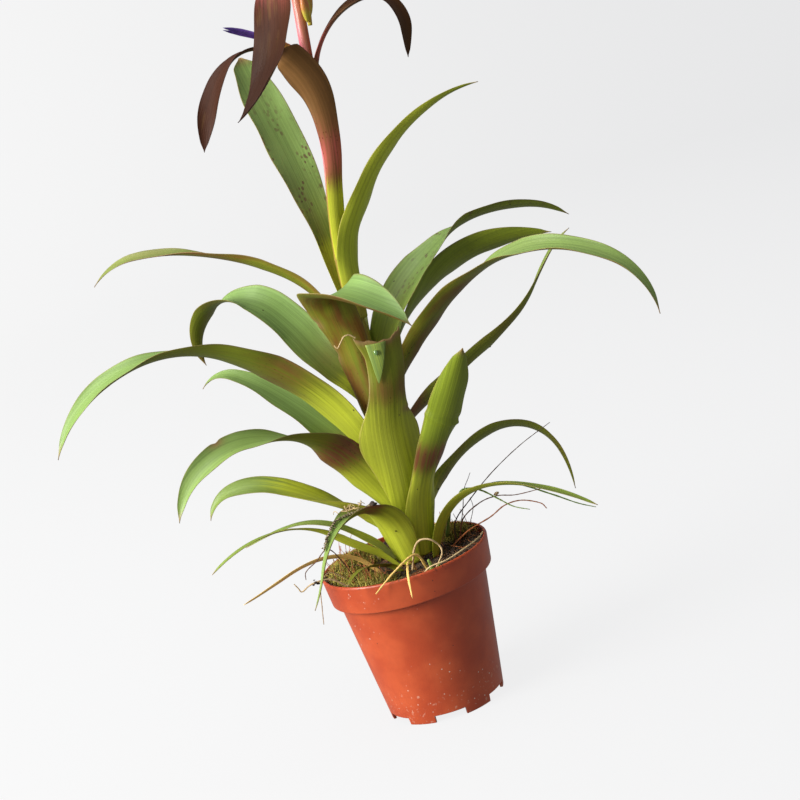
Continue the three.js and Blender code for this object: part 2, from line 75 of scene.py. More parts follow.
# Each leaf's row: name, height of insertion, azimuth, distance from the stem line, length, then at
# equal steps along it the angle from the vertical, the swing of the azimuth, the twist and the
# width, then the share that hugs the stem, the cupping angle and the thickness at the middle.
# For most leaves the length, the angle from the vertical and in part the swing were fitted by least
# squares to points picked on the photograph, then rounded, and some were changed.
LEAVES = [
    ["leaf_low_left_hair", 61, 205, 9, 89, [35, 52, 43, 63, 86, 102, 119],
     [0, -2], [0, 30, 0, -30], [6, 9, 6, 3.5, 2.5, 2, 1], 0.3, 60, 0.7],
    ["leaf_low_front_short", 61, 231, 13, 36, [40, 58, 66, 70, 85, 100, 125],
     [0, 0], [0, 20, -20], [4, 5, 4, 3, 2.5, 2, 1], 0.2, 40, 0.7],
    ["leaf_low_back_hair", 61, 160, 9, 74, [25, 47, 55, 73, 95, 104, 109],
     [0, 0], [0, -20], [4, 6, 5, 4, 3, 2, 1], 0.2, 40, 0.7],
    ["leaf_low_right_small", 61, -25, 8.8, 88, [20, 36, 62, 92, 108, 116, 124],
     [0, -2], [0, -20, 20], [7, 12, 11, 8, 5, 3.5, 1], 0.25, 60, 0.8],
    ["leaf_low_left", 67, 188, 4.4, 94, [25, 38, 50, 56, 66, 98, 162],
     [0, -5, -11, -14], [0, 30, 0, -30, -40, -40], [12, 17, 17, 13, 10, 7, 1], 0.35, 80, 0.9],
    ["leaf_low_right", 67, 12, 5.3, 110, [14, 40, 58, 82, 124, 164, 184],
     [0, 3, 8, 9], [0, -40, -30, 0, 10], [12, 15, 11, 12, 9, 5, 1], 0.25, 70, 0.9],
    ["leaf_back_low", 72, 95, 4.4, 76, [16, 40, 56, 74, 100, 128, 160],
     [0, 4, 8], [0, 10, 0], [9, 15, 15, 13, 11, 7, 1], 0.3, 80, 0.9],
    ["leaf_front_pup", 62, 244, 8.5, 88, [20, 16, 44, 88, 128, 150, 138],
     [0, -12, -22, -28], [0, 0, 20], [10, 17, 17.5, 13, 5, 2.5, 1], 0.4, 90, 0.9],
    ["leaf_cut_right", 64, -54, 8, 104, [14, 20, 34, 42, 42, 41, 41],
     [0, 0], [0, 0, -35, -35], [10.5, 17, 14.5, 14.5, 15, 13, 3], 0.4, 90, 1.0],
    ["leaf_cut_front", 76, -80, 5.4, 86, [27, 25, 14, 8, 18, 8, 4],
     [0, 0, 5, 50, 60, 60], [0, 0, 0, -35, -55, -55], [10, 14, 21, 28, 17.5, 16, 17], 0.8, 65, 1.0],
    ["leaf_left_lower", 78, 222, 4.3, 131, [20, 30, 36, 66, 83, 114, 160],
     [0, -5, -9, -9], [0, 20, 30, 0, -30, -40, -40], [14, 22, 19, 16, 13, 9, 1], 0.3, 80, 1.0],
    ["leaf_left_behind", 88, 157, 4.2, 101, [15, 32, 36, 42, 47, 62, 136],
     [0, 2, 3], [0, -35, -35, -30, -20], [10, 14, 15, 13, 11, 7, 1], 0.25, 70, 0.9],
    ["leaf_left_long", 95, 194, 4.2, 172, [18, 25, 39, 57, 87, 117, 153],
     [0, 0], [0, 25, 35, 10, -20, -30], [14, 22, 21, 18, 16, 11, 1], 0.3, 80, 1.0],
    ["leaf_back_mid", 101, 78, 4.2, 76, [14, 40, 60, 80, 104, 130, 158],
     [0, 6, 10], [0, 10, 0], [10, 16, 17, 16, 13, 9, 1], 0.3, 80, 0.9],
    ["leaf_right_twisted", 106, 8, 4.2, 115, [12, 56, 63, 63, 67, 60, 40, 44, 67],
     [0, 0], [0, -50, -50, -20, 20], [10, 12, 10, 9, 8, 7, 6, 4, 1], 0.25, 70, 0.8],
    ["leaf_front_folded", 112, 238, 4.2, 122, [13, 6, 3, 32, 92, 120, 140],
     [0, 0, 0, 20, 60, 82, 92], [0, 0], [11, 13.4, 18, 21, 26, 22, 2], 0.5, 90, 0.9],
    ["leaf_right_long", 118, -31, 4.2, 163, [11, 46, 52, 69, 100, 128, 182],
     [0, 3, 4, 4], [0, -30, -15, 15, 10, 5], [7, 10, 15, 16, 14, 10, 1], 0.25, 70, 1.0],
    ["leaf_left_wide", 123, 146, 4.2, 117, [12, 40, 26, 38, 80, 140, 199],
     [0, 8, 14, 18], [0, -40, -45, -30, 30, 40], [7, 11, 16, 17, 15, 10, 1], 0.25, 70, 0.9],
    ["leaf_right_behind", 129, 44, 4.2, 108, [12, 45, 50, 59, 79, 94, 107],
     [0, -20, -40, -50], [0, -10, -40, -50, -50], [6, 12, 18, 18, 16, 10, 1], 0.25, 70, 0.9],
    ["leaf_right_spotted", 135, 22, 4.2, 130, [10, 33, 53, 64, 90, 105, 131],
     [0, 1, 1], [0, 25, 20, -20, -20, -20], [11, 16, 18, 15, 11, 8, 1], 0.25, 70, 0.9],
    ["leaf_back_high", 143, 94, 4.2, 78, [10, 22, 56, 86, 112, 140, 164],
     [0, 4, 8], [0, 0], [6, 9, 14, 14, 12, 8, 1], 0.3, 70, 0.9],
    ["leaf_left_thin", 150, 165, 4.0, 131, [12, 26, 50, 66, 74, 90, 130],
     [0, -1, -3, -5], [0, 25, 30, 10, -20, -30], [10, 13, 13, 12, 10, 7, 1], 0.25, 60, 0.9],
    ["leaf_upper_right", 163, -40, 4.0, 116, [5, 3, 35, 42, 57, 71, 93],
     [0, 14, 22, 22], [0, -20, -20, -20], [13, 13, 13, 12, 10, 6, 1], 0.3, 60, 0.9],
    ["leaf_upper_wide", 172, 115, 4.0, 108, [10, 4, 12, 20, 25, 27, 25],
     [0, 0], [0, 0], [8, 9, 12, 17, 18, 17, 9], 0.3, 50, 0.9],
    ["bract_leafy", 188, 290, 4.3, 88, [8, 20, 24, 22, 14, 4, -8, -26, -44],
     [0, 10, 20, 60, 110], [0, -15, -25, -70, -125], [7, 6.5, 6.6, 7, 8, 10, 12.5, 14.5, 12], 0.5, 80, 0.9],
    ["bract_left", 255, 216, 3.5, 78, [20, 33, 77, 113, 139, 149, 160],
     [0, 0], [0, 0, -50], [6, 7, 6, 7, 9, 8, 1], 0.3, 60, 0.9],
    ["bract_right", 262, -5, 3.5, 67, [20, 42, 60, 86, 150, 188, 192],
     [0, 0], [0, 40], [7, 8, 9, 9, 9, 8, 1], 0.3, 60, 0.9],
    ["bract_hanging", 297, 250, 3.5, 87, [60, 126, 146, 137, 129, 121, 111],
     [0, -7, -20], [0, 20], [9, 12, 17, 18, 16, 10, 1], 0.3, 60, 0.9],
    ["dry_leaf", 61, 202, 17, 65, [30, 47, 71, 90, 102, 102, 98],
     [0, 0], [30, 60], [3, 4, 4, 3.5, 3, 2, 1], 0.2, 50, 0.7],
    ["rim_strand", 61, 262, 14, 35, [38, 61, 92, 130, 165],
     [0, 0], [0, 0], [2, 2.2, 2.2, 2, 1], 0.2, 40, 0.7],
    ["bract_top_back", 310, 85, 3.4, 56, [20, 50, 85, 120, 145, 155, 160],
     [0, 6], [0, 10], [7, 9, 11, 11, 9, 6, 1], 0.3, 60, 0.9],
    ["bract_top_left", 320, 178, 3.2, 52, [20, 50, 85, 120, 148, 158, 162],
     [0, 6], [0, 10], [7, 9, 11, 11, 9, 6, 1], 0.3, 60, 0.9],
    ["bract_top_right", 331, 328, 3.0, 46, [20, 48, 80, 115, 145, 158, 164],
     [0, 8], [0, -10], [6, 8, 10, 10, 8, 5, 1], 0.3, 60, 0.9],
]

# Each leaf's colours: the share of its length that is lime sheath, the place and the strength of
# its purple-brown band, how brown its outer face is, how fresh a green it is, and its spots.
TONES = {
    "leaf_low_left_hair": (0.6, 0.5, 0.0, 0.1, 0.4, 0.0),
    "leaf_low_front_short": (0.2, 0.5, 0.0, 0.6, 0.2, 0.0),
    "leaf_low_back_hair": (0.3, 0.5, 0.0, 0.2, 0.5, 0.0),
    "leaf_low_right_small": (0.5, 0.5, 0.0, 0.1, 0.3, 0.0),
    "leaf_low_left": (0.62, 0.3, 0.6, 0.3, 0.6, 0.0),
    "leaf_low_right": (0.2, 0.22, 0.35, 0.4, 0.45, 0.0),
    "leaf_back_low": (0.25, 0.32, 0.6, 0.2, 0.7, 0.0),
    "leaf_front_pup": (0.36, 0.44, 1.0, 0.1, 0.7, 0.1),
    "leaf_cut_right": (0.36, 0.45, 0.95, 0.0, 0.6, 0.0),
    "leaf_cut_front": (0.64, 0.72, 0.45, 0.4, 0.4, 0.0),
    "leaf_left_lower": (0.26, 0.33, 0.9, 0.3, 0.8, 0.0),
    "leaf_left_behind": (0.15, 0.3, 0.5, 0.3, 0.9, 0.0),
    "leaf_left_long": (0.28, 0.38, 0.45, 0.3, 0.9, 0.0),
    "leaf_back_mid": (0.2, 0.3, 0.4, 0.2, 0.8, 0.0),
    "leaf_right_twisted": (0.1, 0.15, 0.8, 0.4, 0.6, 0.0),
    "leaf_front_folded": (0.06, 0.24, 0.4, 0.95, 1.0, 0.0),
    "leaf_right_long": (0.08, 0.2, 0.3, 0.8, 0.8, 0.0),
    "leaf_left_wide": (0.16, 0.24, 0.3, 0.5, 1.0, 0.0),
    "leaf_right_behind": (0.1, 0.3, 0.0, 0.1, 0.35, 0.0),
    "leaf_right_spotted": (0.1, 0.25, 0.1, 0.2, 0.8, 1.0),
    "leaf_back_high": (0.1, 0.2, 0.3, 0.2, 0.7, 0.2),
    "leaf_left_thin": (0.02, 0.1, 0.3, 0.9, 0.5, 0.0),
    # Painted light: leaf_upper_right's lime share is raised to 0.9, so most of its length takes the lighter
    # lime colour, which stands in for light on its shaded outer face.
    "leaf_upper_right": (0.9, 0.05, 0.6, 0.1, 0.35, 0.0),
    "leaf_upper_wide": (0.2, 0.12, 0.5, 0.7, 0.9, 1.0),
    "bract_leafy": (0.34, 0.5, 0.85, 0.15, 0.3, 0.0),
    "bract_left": (0.0, 0.08, 1.0, 1.8, 0.7, 0.0),
    "bract_right": (0.0, 0.14, 0.8, 0.8, 0.7, 0.0),
    "bract_hanging": (0.0, 0.2, 0.6, 1.8, 1.0, 0.0),
    "bract_top_back": (0.0, 0.1, 0.9, 0.7, 0.3, 0.0),
    "bract_top_left": (0.0, 0.1, 0.9, 0.6, 0.4, 0.0),
    "bract_top_right": (0.0, 0.1, 0.9, 0.6, 0.3, 0.0),
}

# The stem's line: x at heights z.
STEM_Z = [0, 60, 95, 120, 150, 175, 193, 211, 225, 242, 257, 273, 290, 330, 370]
STEM_X = [5, 5, 7, 8, 9.5, 9.5, 10.5, 13, 16, 18, 19, 21, 23, 27, 30]


def stem_x(z):
    """The stem line's x at height z, straight between the listed heights."""
    return np.interp(z, STEM_Z, STEM_X)


def steps(values, u):
    """Values at equal steps, joined by straight lines."""
    return np.interp(u, np.linspace(0, 1, len(values)), values)


def smooth(values, u):
    """Values at equal steps, joined by a curve that passes through all of them."""
    v = np.asarray(values, float)
    n = len(v) - 1
    x = np.clip(u, 0, 1) * n
    i = np.minimum(x.astype(int), n - 1)
    f = x - i
    p = np.concatenate([[2 * v[0] - v[1]], v, [2 * v[-1] - v[-2]]])
    a, b, c, d = p[i], p[i + 1], p[i + 2], p[i + 3]
    return 0.5 * (2 * b + (c - a) * f + (2 * a - 5 * b + 4 * c - d) * f**2 + (3 * b - a - 3 * c + d) * f**3)


def ease(low, high, x):
    """0 below low and 1 above high, with a smooth rise between."""
    t = np.clip((np.asarray(x, float) - low) / (high - low), 0, 1)
    return t * t * (3 - 2 * t)


def spline(points, count):
    """A smooth path of count points through the given ones."""
    p = np.array(points, float)
    u = np.linspace(0, 1, count)
    return np.stack([smooth(p[:, k], u) for k in range(3)], 1)


def unit(v):
    """Directions of length 1."""
    return v / np.maximum(np.linalg.norm(v, axis=-1, keepdims=True), 1e-9)


def bell(x, middle, width):
    """1 at the middle, and falling on both sides, to about a third at the distance width."""
    return np.exp(-(((x - middle) / width) ** 2))


def angles(count):
    """Equal angles all the way round."""
    return np.arange(count) * TAU / count


def turned(r, phi, z):
    """Points at the distances r and the heights z, turned by phi about the vertical."""
    return np.stack(np.broadcast_arrays(r * np.cos(phi), r * np.sin(phi), z), -1)


def foot(z0, az, r0):
    """The place at the height z0 that lies r0 away from the stem's line, towards the azimuth az."""
    return turned(r0, math.radians(az), z0) + np.array([stem_x(z0), 0, 0])


def walked(moves):
    """The path from the origin that makes these moves one after another."""
    return np.concatenate([np.zeros((1, 3)), np.cumsum(moves, 0)])


def ripple(x, y, seed, size):
    """Uneven ground: 14 waves in random directions, the longest as long as size, the shorter the weaker."""
    rng = np.random.default_rng(seed)
    total = 0
    for k in range(14):
        a, phase = rng.uniform(0, TAU, 2)
        long = size / 1.25**k
        total = total + long / size * np.sin((x * math.cos(a) + y * math.sin(a)) * TAU / long + phase)
    return total / 3


# Meshes

# The kind of a point attribute and the name of its values, by how many numbers each point has
FIELD_KINDS = {1: ("FLOAT", "value"), 3: ("FLOAT_VECTOR", "vector"), 4: ("FLOAT_COLOR", "color")}


def surface(name, points, faces, paint):
    """A smooth mesh from points in metres, with its material."""
    mesh = bpy.data.meshes.new(name)
    mesh.from_pydata(points.tolist(), [], faces)
    mesh.shade_smooth()
    mesh.materials.append(paint)
    return mesh


def piece(name, points, faces, slot, paint, node=None, **fields):
    """One object from points in millimetres and blocks of faces. Each field holds a value for each point.

    Faces that point inwards, which a negative volume shows, are turned round."""
    blocks = faces if isinstance(faces, list) else [faces]
    volume = 0
    for f in blocks:
        for k in range(1, f.shape[1] - 1):
            a, b, c = points[f[:, 0]], points[f[:, k]], points[f[:, k + 1]]
            volume += np.einsum("ij,ij->", a, np.cross(b, c))
    if volume < 0:
        blocks = [f[:, ::-1] for f in blocks]
    mesh = surface(name, points * 0.001, [row for f in blocks for row in f.tolist()], paint)
    for key, values in fields.items():
        values = np.asarray(values, np.float32)
        kind, part = FIELD_KINDS[1 if values.ndim == 1 else values.shape[1]]
        mesh.attributes.new(key, kind, "POINT").data.foreach_set(part, values.ravel())
    obj = added(name, mesh)
    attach(obj, "root")
    if node:
        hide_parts(node)


def ring_faces(n, m):
    """Four-sided faces between n rings of m points each, numbered ring after ring."""
    i, j = np.meshgrid(np.arange(n - 1), np.arange(m), indexing="ij")
    k = (j + 1) % m
    return np.stack([i * m + j, i * m + k, (i + 1) * m + k, (i + 1) * m + j], -1).reshape(-1, 4)


def skin(rings):
    """A closed skin over rings of points: faces between them and a fan to the middle of each end."""
    n, m, _ = rings.shape
    j = np.arange(m)
    k = (j + 1) % m
    start = np.stack([np.full(m, n * m), k, j], -1)
    end = np.stack([np.full(m, n * m + 1), (n - 1) * m + j, (n - 1) * m + k], -1)
    points = np.concatenate([rings.reshape(-1, 3), rings[:1].mean(1), rings[-1:].mean(1)])
    return points, [ring_faces(n, m), start, end]


def joined(parts):
    """Several skins as one mesh: their points one after another, and their faces counted on."""
    points, faces, at = [], [], 0
    for p, f in parts:
        points.append(p)
        faces += [block + at for block in f]
        at += len(p)
    return np.concatenate(points), faces


def frames(path):
    """The direction along a path and two across it, from the axis that the path runs least along."""
    t = unit(np.gradient(path, axis=0))
    axes = np.array([[1, 0, 0], [0, 1, 0], [0, 0, 1], [0.6, 0.6, 0.5], [-0.6, 0.6, 0.5]], float)
    axis = axes[np.abs(t @ unit(axes).T).max(0).argmin()]
    s = unit(np.cross(t, axis))
    return t, s, np.cross(t, s)


def circle(a, s, n):
    """Points at the angles a on a circle of radius 1 in the plane of the directions s and n."""
    return np.cos(a)[:, None] * s[..., None, :] + np.sin(a)[:, None] * n[..., None, :]


def tube(path, radius, sides):
    """The rings of a tube along a path: circles of the given radius across it."""
    _, s, n = frames(path)
    r = np.broadcast_to(radius, len(path))[:, None, None]
    return path[:, None] + r * circle(angles(sides), s, n)


def wires(paths, radius, sides=4):
    """Many thin tubes at once: paths is (count, steps, 3) and radius (count, steps)."""
    k, n, _ = paths.shape
    t = unit(np.gradient(paths, axis=1))
    helper = np.where(np.abs(t[:, :, 2:]) > 0.9, [[[1.0, 0, 0]]], [[[0, 0, 1.0]]])
    s = unit(np.cross(t, helper))
    around = circle(angles(sides), s, np.cross(t, s))
    rings = paths[:, :, None] + radius[:, :, None, None] * around
    base = np.arange(k)[:, None] * n * sides
    quads = (base[..., None] + ring_faces(n, sides)).reshape(-1, 4)
    first = base + np.arange(sides)[::-1]
    last = base + (n - 1) * sides + np.arange(sides)
    return rings.reshape(-1, 3), [quads, first, last]


# Materials


def rgb(r, g, b):
    """A colour from 0 to 255, as the shader's linear values."""
    c = np.array([r, g, b]) / 255
    return (*np.where(c <= 0.04045, c / 12.92, ((c + 0.055) / 1.055) ** 2.4).tolist(), 1.0)


class Num:
    """A number in a shader. Each operator adds a Math node."""

    def __init__(self, paint, socket):
        self.paint, self.socket = paint, socket

    def math(self, kind, a, b):
        made = self.paint.node("ShaderNodeMath", {"operation": kind}, {0: a, 1: b})
        return Num(self.paint, made.outputs[0])

    def __add__(self, other):
        return self.math("ADD", self, other)

    def __sub__(self, other):
        return self.math("SUBTRACT", self, other)

    def __rsub__(self, other):
        return self.math("SUBTRACT", other, self)

    def __mul__(self, other):
        return self.math("MULTIPLY", self, other)

    __radd__, __rmul__ = __add__, __mul__

    def most(self, other):
        return self.math("MAXIMUM", self, other)

    def least(self, other):
        return self.math("MINIMUM", self, other)

    def rise(self, low, high):
        """0 below low and 1 above high, with a smooth rise between."""
        inputs = {"Value": self, "From Min": low, "From Max": high}
        made = self.paint.node("ShaderNodeMapRange", {"interpolation_type": "SMOOTHSTEP"}, inputs)
        return Num(self.paint, made.outputs[0])


class Paint:
    """One material. node() adds any node: its settings first, then the values or links of its sockets."""

    def __init__(self, name, **constants):
        self.material = bpy.data.materials.new(name)
        self.material.use_nodes = True
        self.tree = self.material.node_tree
        self.shader = self.tree.nodes["Principled BSDF"]
        for key, value in constants.items():
            self.shader.inputs[key.replace("_", " ")].default_value = value

    def node(self, kind, settings=None, inputs=None):
        made = self.tree.nodes.new(kind)
        for key, value in (settings or {}).items():
            setattr(made, key, value)
        for key, value in (inputs or {}).items():
            self.put(made.inputs[key], value)
        return made

    def put(self, socket, value):
        value = value.socket if isinstance(value, Num) else value
        if isinstance(value, bpy.types.NodeSocket):
            self.tree.links.new(value, socket)
        else:
            socket.default_value = value

    def set(self, name, value):
        self.put(self.shader.inputs[name], value)

    def mix(self, factor, a, b, blend="MIX"):
        """Colour a where factor is 0 and b where it is 1."""
        settings = {"data_type": "RGBA", "blend_type": blend}
        return self.node("ShaderNodeMix", settings, {0: factor, 6: a, 7: b}).outputs[2]

    def field(self, name):
        """A point attribute as its three numbers and a fourth, which is its alpha."""
        made = self.node("ShaderNodeAttribute", {"attribute_name": name})
        parts = self.node("ShaderNodeSeparateXYZ", {}, {0: made.outputs["Vector"]})
        return [Num(self, s) for s in (*parts.outputs, made.outputs["Alpha"])]

    def place(self):
        """The point in millimetres as its vector and its three numbers."""
        at = self.node("ShaderNodeTexCoord").outputs["Object"]
        scaled = self.node("ShaderNodeVectorMath", {"operation": "SCALE"}, {0: at, "Scale": 1000.0})
        parts = self.node("ShaderNodeSeparateXYZ", {}, {0: scaled.outputs[0]})
        return scaled.outputs[0], [Num(self, s) for s in parts.outputs]

    def vector(self, x, y, z):
        return self.node("ShaderNodeCombineXYZ", {}, {0: x, 1: y, 2: z}).outputs[0]

    def grey(self, value):
        return self.node("ShaderNodeCombineColor", {}, {0: value, 1: value, 2: value}).outputs[0]

    def noise(self, at, size, detail=2.0):
        """Cloudy noise around 0.5, with features about size across."""
        made = self.node("ShaderNodeTexNoise", {}, {"Vector": at, "Scale": 1 / size, "Detail": detail})
        return Num(self, made.outputs[0])

    def dots(self, at, size):
        """The distance from the nearest of scattered points, and a random number for each."""
        made = self.node("ShaderNodeTexVoronoi", {}, {"Vector": at, "Scale": 1 / size})
        shade = self.node("ShaderNodeSeparateColor", {}, {0: made.outputs["Color"]})
        return Num(self, made.outputs["Distance"]), Num(self, shade.outputs[0])

    def bump(self, height, millimetres):
        inputs = {"Strength": 1.0, "Distance": millimetres * 0.001, "Height": height}
        made = self.node("ShaderNodeBump", {}, inputs)
        self.set("Normal", made.outputs[0])


def leaf_paint(name, lime, outer, brown, upper, band, tip, gloss, shine):
    """Living leaf: a lime sheath, a striped dark band and a blade that is lighter on its upper face.

    The field tone holds lime, band, tip and spots; the field along holds millimetres along and
    across and 1 on the upper face; the field kind holds brownness, freshness and a number of its own."""
    p = Paint(name, Roughness=gloss, Specular_IOR_Level=shine)
    is_lime, is_band, is_tip, spots = p.field("tone")
    x, y, top, _ = p.field("along")
    brownness, fresh, own, _ = p.field("kind")
    stripes = p.noise(p.vector(x * 0.02, y * 1.1, own), 1.0, 2.0).rise(0.3, 0.7)
    veins = p.noise(p.vector(x * 0.012, y * 2.6, own + 9.0), 1.0, 1.0).rise(0.3, 0.7)
    clouds = p.noise(p.vector(x * 0.05, y * 0.13, own), 1.0, 2.0)
    patchy = clouds.rise(0.3, 0.7)
    back = p.mix((brownness * (0.35 + 0.8 * patchy + 0.3 * (stripes - 0.5))).least(1.0), outer, brown)
    front = p.mix(fresh * x.rise(6.0, 58.0), back, upper)
    blade = p.mix(top, back, front)
    lines = stripes * 0.4 + veins * 0.6 - 0.5
    colour = p.mix((is_lime + lines * is_lime * (1 - is_lime) * 1.8).rise(0.0, 1.0), blade, lime)
    frayed = (clouds - 0.5) * is_band * (1 - is_band) * 3.0
    streaked = is_band * (0.55 + 0.5 * stripes + 0.4 * veins) + frayed
    colour = p.mix(streaked.rise(0.0, 1.1) * 0.92, colour, band)
    fleck, chance = p.dots(p.vector(x * 0.5, y * 1.2, own), 1.0)
    marks = (0.24 - fleck).rise(0.0, 0.12) * chance.rise(0.6, 0.7)
    marked = marks * (is_band * 1.5 + brownness * (1 - top) * 0.5)
    colour = p.mix(marked.least(0.85), colour, rgb(84, 34, 24))
    fleck, chance = p.dots(p.vector(x * 0.11, y * 0.16, own + 4.0), 1.0)
    colour = p.mix((0.055 - fleck).rise(0.0, 0.02) * chance.rise(0.35, 0.4) * 0.9, colour, rgb(46, 30, 18))
    fleck, chance = p.dots(p.vector(x * 0.42, y * 0.7, own + 2.0), 1.0)
    patch = p.noise(p.vector(x * 0.07, y * 0.13, own + 5.0), 1.0, 2.0).rise(0.46, 0.58)
    blotch = (0.42 + 0.25 * (chance - 0.5) - fleck).rise(0.0, 0.14) * patch * chance.rise(0.3, 0.4) * spots
    colour = p.mix(blotch * 0.75, colour, rgb(92, 52, 50))
    colour = p.mix(is_tip * 0.85, colour, tip)
    grain = p.noise(p.vector(x * 0.9, y * 2.2, own), 1.0, 3.0)
    streaks = p.noise(p.vector(x * 0.01, y * 0.5, own + 3.0), 1.0, 1.0).rise(0.3, 0.7)
    light = 0.68 + 0.22 * stripes + 0.1 * veins + 0.14 * grain + 0.1 * streaks
    p.set("Base Color", p.mix(1.0, colour, p.grey(light), "MULTIPLY"))
    p.set("Roughness", gloss + 0.16 * (clouds - 0.5) + 0.06 * (1 - top))
    p.bump(veins * 0.7 + stripes * 0.3, 0.04)
    return p.material


GREEN = leaf_paint(
    "leaf_green", lime=rgb(180, 188, 54), outer=rgb(124, 140, 34), brown=rgb(112, 76, 28),
    upper=rgb(124, 154, 84), band=rgb(118, 58, 44), tip=rgb(146, 112, 76), gloss=0.4, shine=0.3,
)
RED = leaf_paint(
    "bract_red", lime=rgb(190, 194, 60), outer=rgb(136, 98, 56), brown=rgb(72, 40, 25),
    upper=rgb(50, 28, 18), band=rgb(200, 100, 92), tip=rgb(54, 32, 24), gloss=0.42, shine=0.08,
)


def pot_paint():
    """Clay-coloured plastic with a soft gloss, lime scale in dots and splashes, and a few dark flecks."""
    p = Paint("clay_plastic", Roughness=0.42, Coat_Weight=0.1, Coat_Roughness=0.25)
    at, (_, _, z) = p.place()
    cloud = p.noise(at, 14.0, 3.0)
    grain = p.noise(at, 0.5, 2.0)
    colour = p.mix(cloud.rise(0.35, 0.7), rgb(178, 70, 35), rgb(194, 84, 44))
    colour = p.mix(((p.noise(at, 3.0, 4.0) - 0.45) * 0.5).most(0.0), colour, rgb(140, 52, 34))
    low = (22 - z).rise(0.0, 18.0)
    region = (p.noise(at, 16.0, 1.0) + low * 0.25).rise(0.5, 0.68)
    near, chance = p.dots(at, 2.2)
    dot = (0.16 - near).rise(0.0, 0.06) * chance.rise(0.6, 0.7)
    splash = (p.noise(at, 1.6, 3.0) + low * 0.06).rise(0.66, 0.74) * region
    colour = p.mix((dot * region).least(1.0) * 0.8, colour, rgb(226, 206, 190))
    colour = p.mix(splash * 0.45, colour, rgb(214, 168, 144))
    far, luck = p.dots(at, 5.0)
    fleck = (0.06 - far).rise(0.0, 0.03) * luck.rise(0.55, 0.6)
    colour = p.mix(fleck, colour, rgb(50, 28, 20))
    dust = p.noise(at, 1.2, 3.0).rise(0.56, 0.7) * (z - 61.5).rise(0.0, 3.5)
    colour = p.mix(dust * 0.6, colour, rgb(70, 44, 30))
    p.set("Base Color", colour)
    p.set("Roughness", 0.4 + 0.14 * (cloud - 0.5) + 0.3 * splash)
    p.bump(grain * 0.3 + cloud, 0.05)
    return p.material


def earth_paint():
    """Dark damp peat: nearly black, with brown bits."""
    p = Paint("peat", Roughness=0.9)
    at, _ = p.place()
    shade = p.field("shade")[0]
    bits = p.noise(at, 1.1, 4.0)
    colour = p.mix(bits.rise(0.4, 0.65), rgb(52, 42, 34), rgb(102, 80, 60))
    colour = p.mix(shade.rise(0.5, 1.0) * 0.7, colour, rgb(150, 108, 68))
    p.set("Base Color", colour)
    p.set("Roughness", 0.75 + 0.2 * bits)
    p.bump(p.noise(at, 0.5, 4.0), 0.3)
    return p.material


def strand_paint(name, pale, dark, rough, bump=0.1):
    """Dead or dry plant matter: the field shade runs from the dark colour to the pale one."""
    p = Paint(name, Roughness=rough)
    at, _ = p.place()
    shade = p.field("shade")[0]
    speck = p.noise(at, 0.7, 3.0)
    p.set("Base Color", p.mix((shade + (speck - 0.5) * 0.7).rise(0.0, 1.0), dark, pale))
    p.set("Roughness", rough + 0.2 * (speck - 0.5))
    p.bump(speck, bump)
    return p.material


def stalk_paint():
    """The flower stalk: olive where it is hidden low down, then pink, with lengthwise streaks."""
    p = Paint("stalk_pink", Roughness=0.4, Coat_Weight=0.15)
    _, (x, y, z) = p.place()
    streak = p.noise(p.vector(x * 1.6, y * 1.6, z * 0.06), 1.0, 2.0)
    colour = p.mix((z - 205.0).rise(0.0, 30.0), rgb(150, 128, 52), rgb(236, 128, 146))
    colour = p.mix(((x - 19.0) * 0.25 + streak).rise(0.3, 1.2) * 0.8, colour, rgb(166, 108, 60))
    p.set("Base Color", p.mix((streak - 0.5) * 0.8, colour, rgb(120, 60, 60)))
    p.bump(streak, 0.1)
    return p.material


def scale_paint():
    """The spikes' scales: yellow-green below, orange to maroon at each tip, as the field shade says."""
    p = Paint("spike_scales", Roughness=0.42, Coat_Weight=0.1)
    at, _ = p.place()
    shade = p.field("shade")[0]
    spot = p.noise(at, 1.4, 3.0)
    colour = p.mix((shade + (spot - 0.5) * 0.5).rise(0.1, 0.6), rgb(186, 176, 62), rgb(196, 122, 62))
    colour = p.mix((shade + (spot - 0.5) * 0.4).rise(0.6, 1.0), colour, rgb(120, 54, 52))
    p.set("Base Color", colour)
    p.bump(spot, 0.12)
    return p.material


def petal_paint():
    """Violet petals, darker towards the mouth, which the field shade gives."""
    p = Paint("violet_petal", Roughness=0.45, Coat_Weight=0.1)
    at, _ = p.place()
    shade = p.field("shade")[0]
    vein = p.noise(at, 0.8, 2.0)
    dark = (shade + (vein - 0.5) * 0.4).rise(0.3, 1.0)
    p.set("Base Color", p.mix(dark, rgb(116, 78, 180), rgb(56, 34, 104)))
    p.bump(vein, 0.06)
    return p.material


POT = pot_paint()
PEAT = earth_paint()
STALK = stalk_paint()
SCALES = scale_paint()
PETAL = petal_paint()
MOSS = strand_paint("moss_green", rgb(182, 170, 72), rgb(86, 76, 34), 0.8)
ROOT = strand_paint("root_pale", rgb(206, 178, 130), rgb(120, 84, 50), 0.6)
FIBRE = strand_paint("fibre_brown", rgb(176, 104, 56), rgb(48, 36, 28), 0.7)
TWIG = strand_paint("twig_mossy", rgb(158, 144, 112), rgb(66, 54, 40), 0.9, 0.4)
DRY = strand_paint("leaf_dry", rgb(238, 198, 112), rgb(188, 138, 64), 0.55)
SPROUT = strand_paint("sprout_green", rgb(150, 178, 84), rgb(92, 122, 44), 0.45)


# Leaves

# Steps along a leaf's middle line, and the length of one wave of its margins
LINE_STEPS = 160
WAVE = 24


